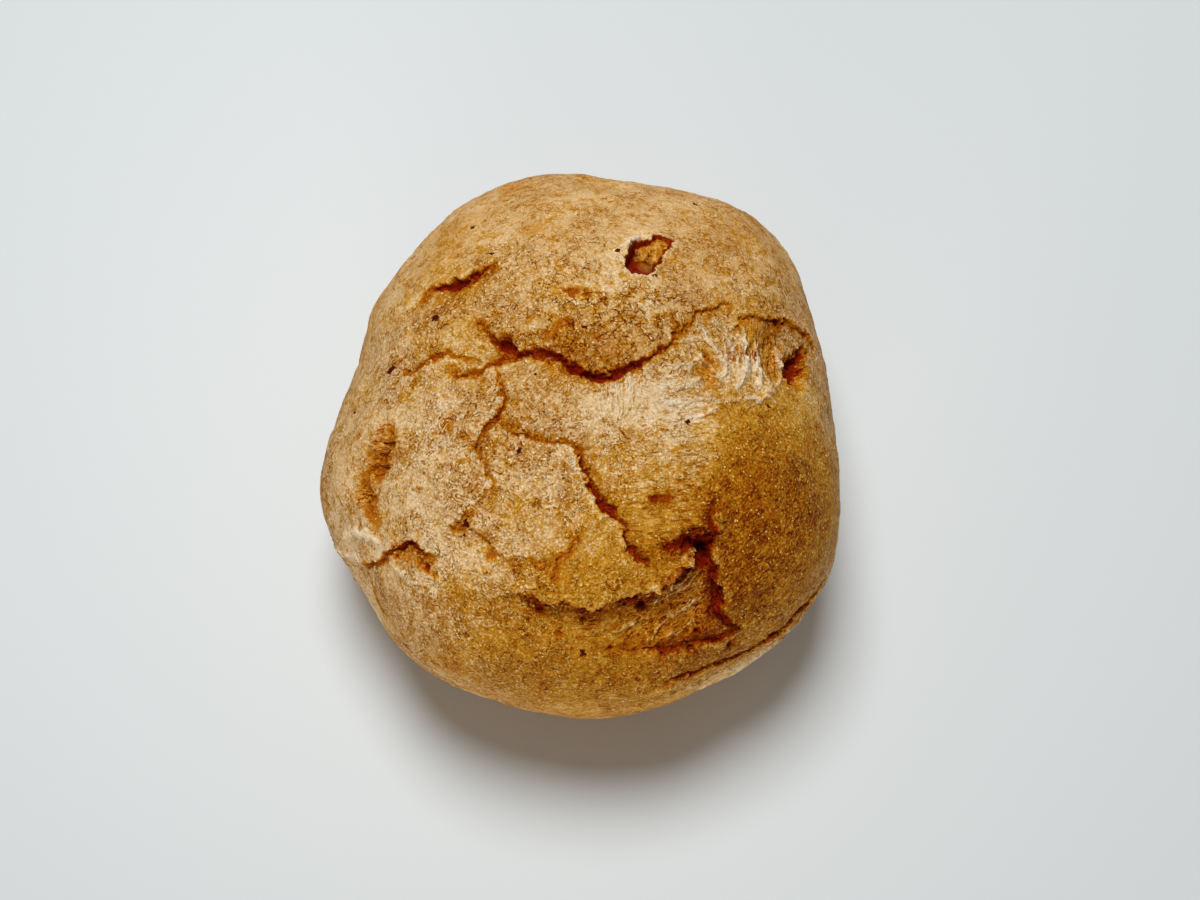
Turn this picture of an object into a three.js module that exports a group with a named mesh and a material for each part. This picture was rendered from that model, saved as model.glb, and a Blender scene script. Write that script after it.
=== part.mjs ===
// Cream puff: a plain baked choux bun, one solid piece of crust.
// Millimetres, +Z up. The origin is on the surface it rests on, at the middle of its footprint box.
// +Y is the long way of the bun, +X its short way.
import * as THREE from "three";
import { mergeVertices } from "three/addons/utils/BufferGeometryUtils.js";

// Driving dimensions
const EQUATOR_HEIGHT = 22; // height of the widest level above the flat base
const DOME_HEIGHT = 30.5; // from the widest level to the crown, before the swellings
const TUCK_HEIGHT = 26.5; // how far the lower bowl would reach below the widest level if it weren't flattened
const DOME_POWER = 2.15; // 2 is an ellipse, more is squarer
const TUCK_POWER = 2.35;
const MESH_DETAIL = 19; // subdivisions of the starting icosahedron
const CROWN_DENSITY = 0.34; // how far the mesh points are drawn towards the crown, where the splits are
const LEAST_HALF_WIDTH = 1.05; // narrower splits are opened to this so that the mesh can hold them

// Plan outline: mean radius, then cosine and sine terms of each harmonic
const OUTLINE = [
  [41.693, 0],
  [1.35, -0.219],
  [-1.778, 0.58],
  [-0.385, -0.785],
  [-0.754, 0.151],
  [-0.552, -0.605],
  [-0.017, -0.126],
  [0.018, -0.16],
  [0.078, 0.429],
  [0.036, -0.1],
  [-0.055, 0.071],
];

// Swellings and hollows where the dough rose unevenly: azimuth, elevation, spread (degrees), height
const SWELLINGS = [
  [74.61, 60.97, 20, 1.6],
  [29.22, 39.07, 14, 0.8],
  [-34.24, 32.61, 20, 1.5],
  [-91.36, 47.63, 14, 1],
  [-143.97, 46.63, 14, 1],
  [-113.16, 21.71, 16, 1.1],
  [-74.29, 15.07, 12, 0.7],
  [152.24, 37.74, 14, 0.8],
  [8.96, 84.16, 7, -1.2],
  [-75.42, 26.24, 9, -1.5],
  [11.09, 34.77, 8, -1.1],
  [-159.37, 32.56, 6, -0.9],
  [161.48, 21.87, 7, -0.9],
  [-140.51, 9.25, 7, -0.9],
  [156.1, 69.74, 5, -0.6],
  [3.64, 56.06, 6, -0.6],
  [84.6, 24.81, 5, -0.7],
];

// Splits in the crust. Each point: azimuth, elevation (degrees, seen from the bun's middle), half width, depth.
// raisedSide is 1 where the crust stands proud on the right of the line, -1 on the left, 0 where level.
const SPLITS = [
  { name: "main_split", raisedSide: -1, lip: 1.3, reach: 7,
    line: [[144.51, 55.42, 0.2, 0.3], [147.78, 58.92, 0.3, 0.7], [151.11, 61.86, 0.35, 1], [152.65, 65.29, 0.45, 1.4], [154.08, 67.93, 0.8, 2.2], [154.21, 70.98, 0.8, 1.8], [154.06, 74.17, 0.8, 1.5], [150.2, 77.78, 0.8, 1.6], [143.53, 81.5, 0.85, 1.9], [127.88, 85.83, 0.9, 2.3], [52.91, 87.92, 0.95, 2.6], [5.75, 84.88, 1, 2.8], [6.01, 81.48, 0.9, 2.5], [9.37, 77.48, 0.8, 2.1], [11.71, 73.49, 0.6, 1.8], [15.35, 69.78, 0.5, 1.5], [21.28, 66.51, 0.45, 1.3], [25.6, 62.64, 0.4, 1.1], [27.87, 60.61, 0.35, 0.8], [27.91, 58.01, 0.3, 0.6], [30.56, 53.96, 0.3, 0.8], [32.13, 50.22, 0.3, 0.7], [31.58, 47.2, 0.25, 0.6], [28.55, 45.62, 0.25, 0.5], [24.84, 45.33, 0.2, 0.3]] },
  { name: "upper_left_split", raisedSide: -1, lip: 0.5, reach: 4,
    line: [[153.83, 34.57, 0.12, 0.15], [152.06, 37.27, 0.18, 0.3], [149.17, 39.78, 0.25, 0.5], [144.74, 41.02, 0.3, 0.7], [141.83, 42.29, 0.55, 1.4], [139.63, 44.37, 0.85, 2.2], [137.02, 46.19, 0.95, 2.5], [134.69, 47.89, 1, 2.5], [131.94, 48.93, 0.7, 1.7], [128.46, 48.93, 0.4, 1], [125.37, 49.66, 0.25, 0.6], [122.32, 50.43, 0.2, 0.35], [119.36, 50.76, 0.1, 0.15]] },
  { name: "left_branch", raisedSide: 0, lip: 0, reach: 1,
    line: [[157.76, 71.19, 0.5, 0.9], [161.14, 69.28, 0.5, 0.8], [165.91, 67.31, 0.45, 0.7], [171.87, 65.07, 0.45, 0.6], [176.5, 63.02, 0.5, 0.6], [176.87, 58.77, 0.5, 0.6], [174.63, 55.04, 0.35, 0.35], [172.98, 52.35, 0.2, 0.1]] },
  { name: "left_branch_upper", raisedSide: -1, lip: 0.35, reach: 4,
    line: [[167.89, 64.43, 0.2, 0.15], [168.2, 60.31, 0.3, 0.4], [167.48, 56.21, 0.35, 0.5], [167.03, 52.02, 0.4, 0.6], [169.76, 48.94, 0.45, 0.7], [171.58, 46.11, 0.4, 0.6], [173.37, 43.12, 0.35, 0.5], [174.77, 40.6, 0.3, 0.4], [176.77, 38.8, 0.2, 0.2]] },
  { name: "plate_split_left", raisedSide: 1, lip: 0.25, reach: 4,
    line: [[168.2, 67.57, 0.3, 0.5], [-178.3, 68.73, 0.35, 0.7], [-167.38, 68.65, 0.35, 0.7], [-156.99, 67.75, 0.45, 0.8], [-151.65, 65.83, 0.55, 0.9], [-151.2, 62.73, 0.6, 0.8], [-148.99, 60.21, 0.4, 0.6], [-146.06, 58.48, 0.3, 0.5], [-143.72, 57.69, 0.25, 0.5], [-138.9, 56.97, 0.25, 0.5], [-133.42, 56.5, 0.3, 0.5], [-128.76, 55.27, 0.35, 0.5], [-126.99, 52.93, 0.25, 0.35], [-127.24, 51.21, 0.2, 0.35], [-128.44, 48, 0.2, 0.35], [-128.75, 45.97, 0.25, 0.5], [-128.62, 43.89, 0.45, 0.9], [-130.18, 41.29, 0.35, 0.6], [-131.36, 39.9, 0.1, 0.1]] },
  { name: "plate_split_diagonal", raisedSide: 1, lip: 0.7, reach: 4.5,
    line: [[-150.61, 66, 0.2, 0.3], [-139.43, 67.03, 0.22, 0.6], [-129.13, 69.41, 0.3, 0.9], [-116.01, 70.58, 0.2, 0.5], [-103.96, 71.11, 0.25, 0.6], [-91.11, 70.33, 0.35, 0.7], [-88.42, 68.54, 0.35, 0.9], [-87.12, 65.29, 0.38, 1.2], [-83.71, 62.28, 0.45, 1.6], [-82.5, 59.16, 0.6, 2], [-79.46, 55.8, 0.65, 2.1], [-76.83, 53.81, 0.55, 1.8], [-74.83, 51.25, 0.4, 1.2], [-73.55, 48.75, 0.35, 0.9], [-73.22, 46.2, 0.5, 1.2], [-72.01, 43.42, 0.55, 1.2], [-70.54, 40.72, 0.4, 0.8], [-68.76, 39.05, 0.2, 0.3]] },
  { name: "torn_hollow_upper", raisedSide: 0, lip: 0, reach: 1,
    line: [[-65.79, 43.82, 0.3, 0.4], [-62.1, 42.65, 0.6, 0.9], [-58.62, 41.39, 0.9, 1.6], [-55.54, 40.64, 1.3, 2.8], [-53.8, 39.12, 1.5, 3.3], [-53.03, 37.26, 1.3, 3.2], [-53.81, 35.37, 0.9, 2.4], [-54.6, 33.74, 0.5, 1.3]] },
  { name: "central_plate_edge", raisedSide: -1, lip: 1.1, reach: 5,
    line: [[-109.22, 33.7, 0.15, 0.15], [-104.31, 35.29, 0.3, 0.4], [-101.43, 34.28, 0.5, 0.9], [-98.05, 34.35, 0.45, 0.8], [-95.01, 35.23, 0.4, 0.8], [-92.94, 35.48, 0.4, 0.8], [-90.33, 34.51, 0.5, 1.1], [-87.07, 32.82, 0.5, 1.2], [-84.09, 33.49, 0.5, 1.2], [-80.95, 34.47, 0.55, 1.3], [-75.88, 34.09, 0.6, 1.4], [-72, 33.31, 0.6, 1.3], [-68.49, 34.29, 0.5, 1], [-64.43, 35.51, 0.45, 0.9], [-60.24, 36.93, 0.5, 1.1], [-56.97, 37.8, 0.5, 1.2]] },
  { name: "right_plate_edge", raisedSide: -1, lip: 0.9, reach: 6,
    line: [[-38.77, 45.07, 0.15, 0.15], [-43.23, 43.67, 0.3, 0.5], [-45.64, 42.12, 0.35, 0.7], [-47.95, 40.38, 0.45, 1], [-51.23, 38.13, 0.6, 1.8], [-52.47, 35.97, 0.7, 2.2], [-53.17, 33.28, 0.5, 1.5], [-54.38, 31.33, 0.5, 1.3], [-54.66, 28.34, 0.75, 1.7], [-56.08, 26.44, 0.5, 1.2], [-57.4, 23.88, 0.7, 1.4], [-56.55, 20.75, 0.4, 0.9], [-53.96, 17.21, 0.2, 0.3]] },
  { name: "lower_band", raisedSide: 1, lip: 0.45, reach: 3.5,
    line: [[-85.47, 22.93, 0.2, 0.2], [-80.62, 21.88, 0.4, 0.4], [-76.65, 21.09, 0.4, 0.5], [-73.55, 20.74, 0.5, 0.9], [-71.19, 19.65, 0.6, 1.1], [-69.32, 18.78, 0.5, 0.9], [-66.31, 19.88, 0.45, 0.8], [-62.83, 19.01, 0.55, 1], [-59.47, 17.32, 0.7, 1.2], [-56.39, 17.15, 0.6, 1], [-53.96, 17.21, 0.3, 0.4]] },
  { name: "base_crease", raisedSide: -1, lip: 0.9, reach: 3.5,
    line: [[-77.99, 9.57, 0.15, 0.1], [-73.83, 10.32, 0.2, 0.3], [-70.6, 10.71, 0.3, 0.9], [-67.21, 10.2, 0.35, 1.1], [-62.38, 10.3, 0.3, 0.8], [-57.24, 7.68, 0.35, 1.1], [-53.24, 6.66, 0.3, 1], [-49.07, 6.45, 0.35, 1.1], [-44.76, 5.83, 0.4, 1.3], [-41.17, 5.77, 0.4, 1.4], [-38.76, 5.27, 0.4, 1.4], [-36.08, 5, 0.3, 1], [-33.36, 4.22, 0.2, 0.6]] },
  { name: "left_tear", raisedSide: 0, lip: 0.3, reach: 3,
    line: [[-170.77, 41.42, 0.2, 0.2], [-168.25, 39.81, 0.6, 0.9], [-164.76, 38.53, 1, 1.7], [-161.76, 36.11, 0.9, 1.5], [-160.14, 33.15, 0.9, 1.5], [-160.63, 30.41, 0.6, 1], [-158.33, 27.7, 0.5, 0.9], [-155.01, 27.2, 0.9, 1.5], [-151.65, 26.74, 0.8, 1.2], [-148.64, 26.12, 0.5, 0.7], [-144.82, 25.38, 0.3, 0.3]] },
  { name: "lower_left_tear", raisedSide: -1, lip: 0.5, reach: 3,
    line: [[-146.38, 11.23, 0.3, 0.5], [-144.49, 15.08, 0.35, 0.7], [-141.53, 21.41, 0.45, 0.8], [-140.18, 24.99, 0.6, 1.1], [-139.11, 28.7, 0.75, 1.5], [-137.97, 30.93, 0.75, 1.5], [-135.88, 32.11, 0.6, 1.2], [-132.53, 32, 0.5, 1], [-130.43, 33.06, 0.3, 0.5], [-128.64, 34.82, 0.15, 0.15]] },
  { name: "right_crater_rim", raisedSide: -1, lip: 0.8, reach: 4,
    line: [[20.04, 47.86, 0.2, 0.3], [21.8, 45.94, 0.35, 0.6], [23.98, 43.31, 0.4, 0.8], [24.62, 39.73, 0.4, 0.9], [23.83, 36.34, 0.45, 1], [22.77, 34.05, 0.5, 1.1], [22.51, 30.09, 0.5, 1.1], [21.45, 25.99, 0.45, 1], [19.59, 22.41, 0.4, 0.9], [17.18, 20.38, 0.3, 0.6], [14.36, 19.42, 0.2, 0.3]] },
  { name: "right_crater_slot", raisedSide: 0, lip: 0, reach: 1,
    line: [[15.93, 24.64, 0.5, 1], [13.38, 26.01, 0.9, 2], [10.47, 27.61, 1.1, 2.4], [7.83, 30.04, 1.1, 2.2], [6.07, 28.59, 0.5, 1.2]] },
  { name: "cap_crack_a", raisedSide: 1, lip: 0.1, reach: 2,
    line: [[110.49, 64.9, 0.1, 0.1], [106.87, 65.2, 0.15, 0.3], [97.39, 66.6, 0.3, 0.6], [91.07, 67.24, 0.5, 0.9], [84.51, 67.54, 0.3, 0.6], [74.18, 68.01, 0.15, 0.3], [63.52, 66.84, 0.15, 0.3], [55.84, 65.25, 0.1, 0.1]] },
  { name: "cap_crack_b", raisedSide: 0, lip: 0, reach: 1,
    line: [[93.13, 72.93, 0.25, 0.3], [101.45, 74.72, 0.45, 0.6], [110.42, 75.96, 0.45, 0.6], [121.86, 76.64, 0.4, 0.5], [133.29, 76.94, 0.3, 0.4]] },
  { name: "cap_crack_c", raisedSide: 0, lip: 0, reach: 1,
    line: [[62.77, 71.65, 0.1, 0.15], [53.15, 70.19, 0.15, 0.3], [44.78, 67.97, 0.15, 0.3], [40.32, 63.78, 0.15, 0.3], [36.65, 61.49, 0.15, 0.3], [32.22, 60.68, 0.2, 0.5], [28.01, 61.16, 0.25, 0.6]] },
  { name: "inner_plate_split", raisedSide: 0, lip: 0.2, reach: 3,
    line: [[-85.83, 52.89, 0.1, 0.1], [-88.26, 50.61, 0.2, 0.35], [-90.38, 47.63, 0.3, 0.6], [-92.59, 45.65, 0.35, 0.7], [-95.88, 43.91, 0.4, 0.8], [-96.58, 42.3, 0.4, 0.8], [-95.79, 40.62, 0.3, 0.5], [-97.54, 38.66, 0.15, 0.15]] },
  { name: "small_split_right", raisedSide: 0, lip: 0, reach: 1,
    line: [[19.67, 56.33, 0.15, 0.2], [14.79, 55.05, 0.3, 0.5], [10.3, 54.05, 0.4, 0.6], [6.81, 53.19, 0.3, 0.5]] },
  { name: "base_left_slit", raisedSide: 0, lip: 0, reach: 1,
    line: [[-142.71, 11.74, 0.3, 0.5], [-140.6, 8.83, 0.35, 0.7], [-138.02, 7.98, 0.3, 0.6], [-134.5, 10.06, 0.2, 0.4], [-131.09, 11.44, 0.1, 0.2]] },
];

// Burst bubbles: azimuth, elevation, radius, depth
const BUBBLES = [
  [63.71, 53.32, 2.9, 4.2],
  [61.06, 49.03, 2.2, 2.2],
  [15.44, 38.17, 1, 0.9],
  [4.34, 54.64, 1.4, 1],
  [-58.32, 52.95, 0.75, 0.8],
  [-54.7, 51.42, 0.9, 0.6],
  [-73.01, 32.38, 0.75, 1.9],
  [-73.72, 44.95, 0.8, 1.2],
  [151.21, 67.74, 1, 2.2],
  [-100.12, 34.27, 0.8, 0.9],
  [-56.54, 15.53, 0.8, 1],
  [-55.59, 27.51, 0.9, 1.6],
];

const deg = Math.PI / 180;
const centre = new THREE.Vector3(0, 0, EQUATOR_HEIGHT);

function direction(azimuth, elevation) {
  const c = Math.cos(elevation * deg);
  return new THREE.Vector3(
    c * Math.cos(azimuth * deg),
    c * Math.sin(azimuth * deg),
    Math.sin(elevation * deg),
  );
}

// Distance from the bun's middle to its smooth skin along a unit direction.
function smoothRadius(d) {
  const az = Math.atan2(d.y, d.x);
  let plan = OUTLINE[0][0];
  for (let k = 1; k < OUTLINE.length; k++)
    plan += OUTLINE[k][0] * Math.cos(k * az) + OUTLINE[k][1] * Math.sin(k * az);
  const up = d.z >= 0,
    power = up ? DOME_POWER : TUCK_POWER,
    height = up ? DOME_HEIGHT : TUCK_HEIGHT;
  let r =
    (Math.pow(Math.hypot(d.x, d.y) / plan, power) +
      Math.pow(Math.abs(d.z) / height, power)) **
    (-1 / power);
  for (const [a, e, spread, h] of SWELLINGS) {
    const angle = Math.acos(THREE.MathUtils.clamp(d.dot(direction(a, e)), -1, 1)) / deg;
    r += h * Math.exp(-((angle / spread) ** 2));
  }
  return r;
}

const onSkin = (d) => centre.clone().addScaledVector(d, smoothRadius(d));

const splits = SPLITS.map((s) => ({
  ...s,
  deepest: Math.max(...s.line.map((p) => p[3])),
  points: s.line.map(([a, e]) => onSkin(direction(a, e))),
}));
const bubbles = BUBBLES.map(([a, e, radius, depth]) => ({ at: onSkin(direction(a, e)), radius, depth }));

// How far the crust stands above (or sinks below) the smooth skin at a point on it.
function relief(p, outward) {
  let cut = 0,
    lift = 0;
  for (const s of splits) {
    let best = Infinity,
      at = 0,
      share = 0;
    for (let i = 0; i + 1 < s.points.length; i++) {
      const a = s.points[i],
        ab = s.points[i + 1].clone().sub(a);
      const t = THREE.MathUtils.clamp(p.clone().sub(a).dot(ab) / ab.lengthSq(), 0, 1);
      const gap = p.distanceTo(a.clone().addScaledVector(ab, t));
      if (gap < best) [best, at, share] = [gap, i, t];
    }
    if (best > 14) continue;
    const [, , w0, h0] = s.line[at],
      [, , w1, h1] = s.line[at + 1];
    const width = Math.max(LEAST_HALF_WIDTH, w0 + (w1 - w0) * share),
      depth = h0 + (h1 - h0) * share;
    cut = Math.max(cut, depth * Math.exp(-0.9 * (best / width) ** 2));
    if (s.raisedSide) {
      const along = s.points[at + 1].clone().sub(s.points[at]);
      const right = along.clone().cross(outward).normalize();
      const side = p.clone().sub(s.points[at]).dot(right) * s.raisedSide;
      const step = THREE.MathUtils.smoothstep(Math.sign(side) * best, -1.3 * width, 1.3 * width);
      lift += s.lip * Math.min(1, (1.6 * depth) / s.deepest) * Math.exp(-best / s.reach) * (1.35 * step - 0.35);
    }
  }
  for (const b of bubbles) {
    const gap = p.distanceTo(b.at) / Math.max(b.radius, 0.9);
    cut = Math.max(cut, b.depth * Math.exp(-1.1 * gap ** 4));
  }
  return lift - cut;
}

function creamPuffGeometry() {
  const ball = new THREE.IcosahedronGeometry(1, MESH_DETAIL);
  ball.deleteAttribute("normal");
  ball.deleteAttribute("uv");
  const skin = mergeVertices(ball, 1e-5);
  const place = skin.getAttribute("position");
  const d = new THREE.Vector3();
  for (let i = 0; i < place.count; i++) {
    d.fromBufferAttribute(place, i).normalize();
    const polar = Math.acos(THREE.MathUtils.clamp(d.z, -1, 1));
    const drawn = polar - CROWN_DENSITY * Math.sin(polar);
    const flat = Math.hypot(d.x, d.y) || 1;
    d.set((d.x / flat) * Math.sin(drawn), (d.y / flat) * Math.sin(drawn), Math.cos(drawn));
    const smooth = smoothRadius(d);
    let r = smooth + relief(centre.clone().addScaledVector(d, smooth), d);
    // The bun rests flat: what would reach below the base plane ends on it.
    let z = EQUATOR_HEIGHT + r * d.z;
    if (z < 0) {
      r = -EQUATOR_HEIGHT / d.z;
      z = 0;
    }
    place.setXYZ(i, r * d.x, r * d.y, z);
  }
  skin.computeBoundingBox();
  const b = skin.boundingBox;
  skin.translate(-(b.min.x + b.max.x) / 2, -(b.min.y + b.max.y) / 2, 0);
  skin.computeVertexNormals();
  return skin;
}

const crust = new THREE.MeshStandardMaterial({ color: 0xc08a48, roughness: 0.72, metalness: 0 });

const creamPuff = new THREE.Mesh(creamPuffGeometry(), crust);
creamPuff.name = "cream_puff";

const root = new THREE.Group();
root.add(creamPuff);

export default root;
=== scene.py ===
import math

import bpy
import numpy as np
from mathutils import Matrix


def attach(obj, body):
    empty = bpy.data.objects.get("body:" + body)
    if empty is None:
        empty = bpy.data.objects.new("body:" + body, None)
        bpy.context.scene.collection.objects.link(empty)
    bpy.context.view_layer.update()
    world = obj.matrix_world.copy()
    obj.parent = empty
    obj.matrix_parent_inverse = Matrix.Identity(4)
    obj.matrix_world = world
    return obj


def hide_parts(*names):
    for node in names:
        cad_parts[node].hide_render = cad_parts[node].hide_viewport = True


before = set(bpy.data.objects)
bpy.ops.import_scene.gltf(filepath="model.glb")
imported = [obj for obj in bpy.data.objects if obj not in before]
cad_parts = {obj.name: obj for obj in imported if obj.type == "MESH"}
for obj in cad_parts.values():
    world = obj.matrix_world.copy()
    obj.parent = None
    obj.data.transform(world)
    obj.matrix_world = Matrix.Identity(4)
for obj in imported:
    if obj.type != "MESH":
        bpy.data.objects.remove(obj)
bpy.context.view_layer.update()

# ---------------------------------------------------------------- driving dimensions (as in the CAD model)
EQUATOR_HEIGHT = 22.0
DOME_HEIGHT, DOME_POWER = 30.5, 2.15
TUCK_HEIGHT, TUCK_POWER = 26.5, 2.35

# Mesh: a grid on a box wrapped round the bun
GRID = 210
GRID_UP = 80
FINE_REACH = ((1.5, 0.5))  # millimetres from an edge within which triangles are halved
BOX_HALF = 0.55
GRID_SPREAD = 0.80

# Plan outline: mean radius, then cosine and sine terms of each harmonic
OUTLINE = [(41.69, 0), (1.35, -0.22), (-1.78, 0.58), (-0.39, -0.78), (-0.75, 0.15), (-0.55, -0.61), (-0.02, -0.13), (0.02, -0.16), (0.08, 0.43), (0.04, -0.1), (-0.05, 0.07)]
# Swellings: azimuth, elevation, spread (degrees), height
SWELLINGS = [
    (74.61, 60.97, 20, 1.6),
    (29.22, 39.07, 14, 0.8),
    (-34.24, 32.61, 20, 1.5),
    (-91.36, 47.63, 14, 1),
    (-143.97, 46.63, 14, 1),
    (-113.16, 21.71, 16, 1.1),
    (-74.29, 15.07, 12, 0.7),
    (152.24, 37.74, 14, 0.8),
    (8.96, 84.16, 7, -1.2),
    (-75.42, 26.24, 9, -1.5),
    (11.09, 34.77, 8, -1.1),
    (-159.37, 32.56, 6, -0.9),
    (161.48, 21.87, 7, -0.9),
    (-140.51, 9.25, 7, -0.9),
    (156.1, 69.74, 5, -0.6),
    (3.64, 56.06, 6, -0.6),
    (84.6, 24.81, 5, -0.7),
]
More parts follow.
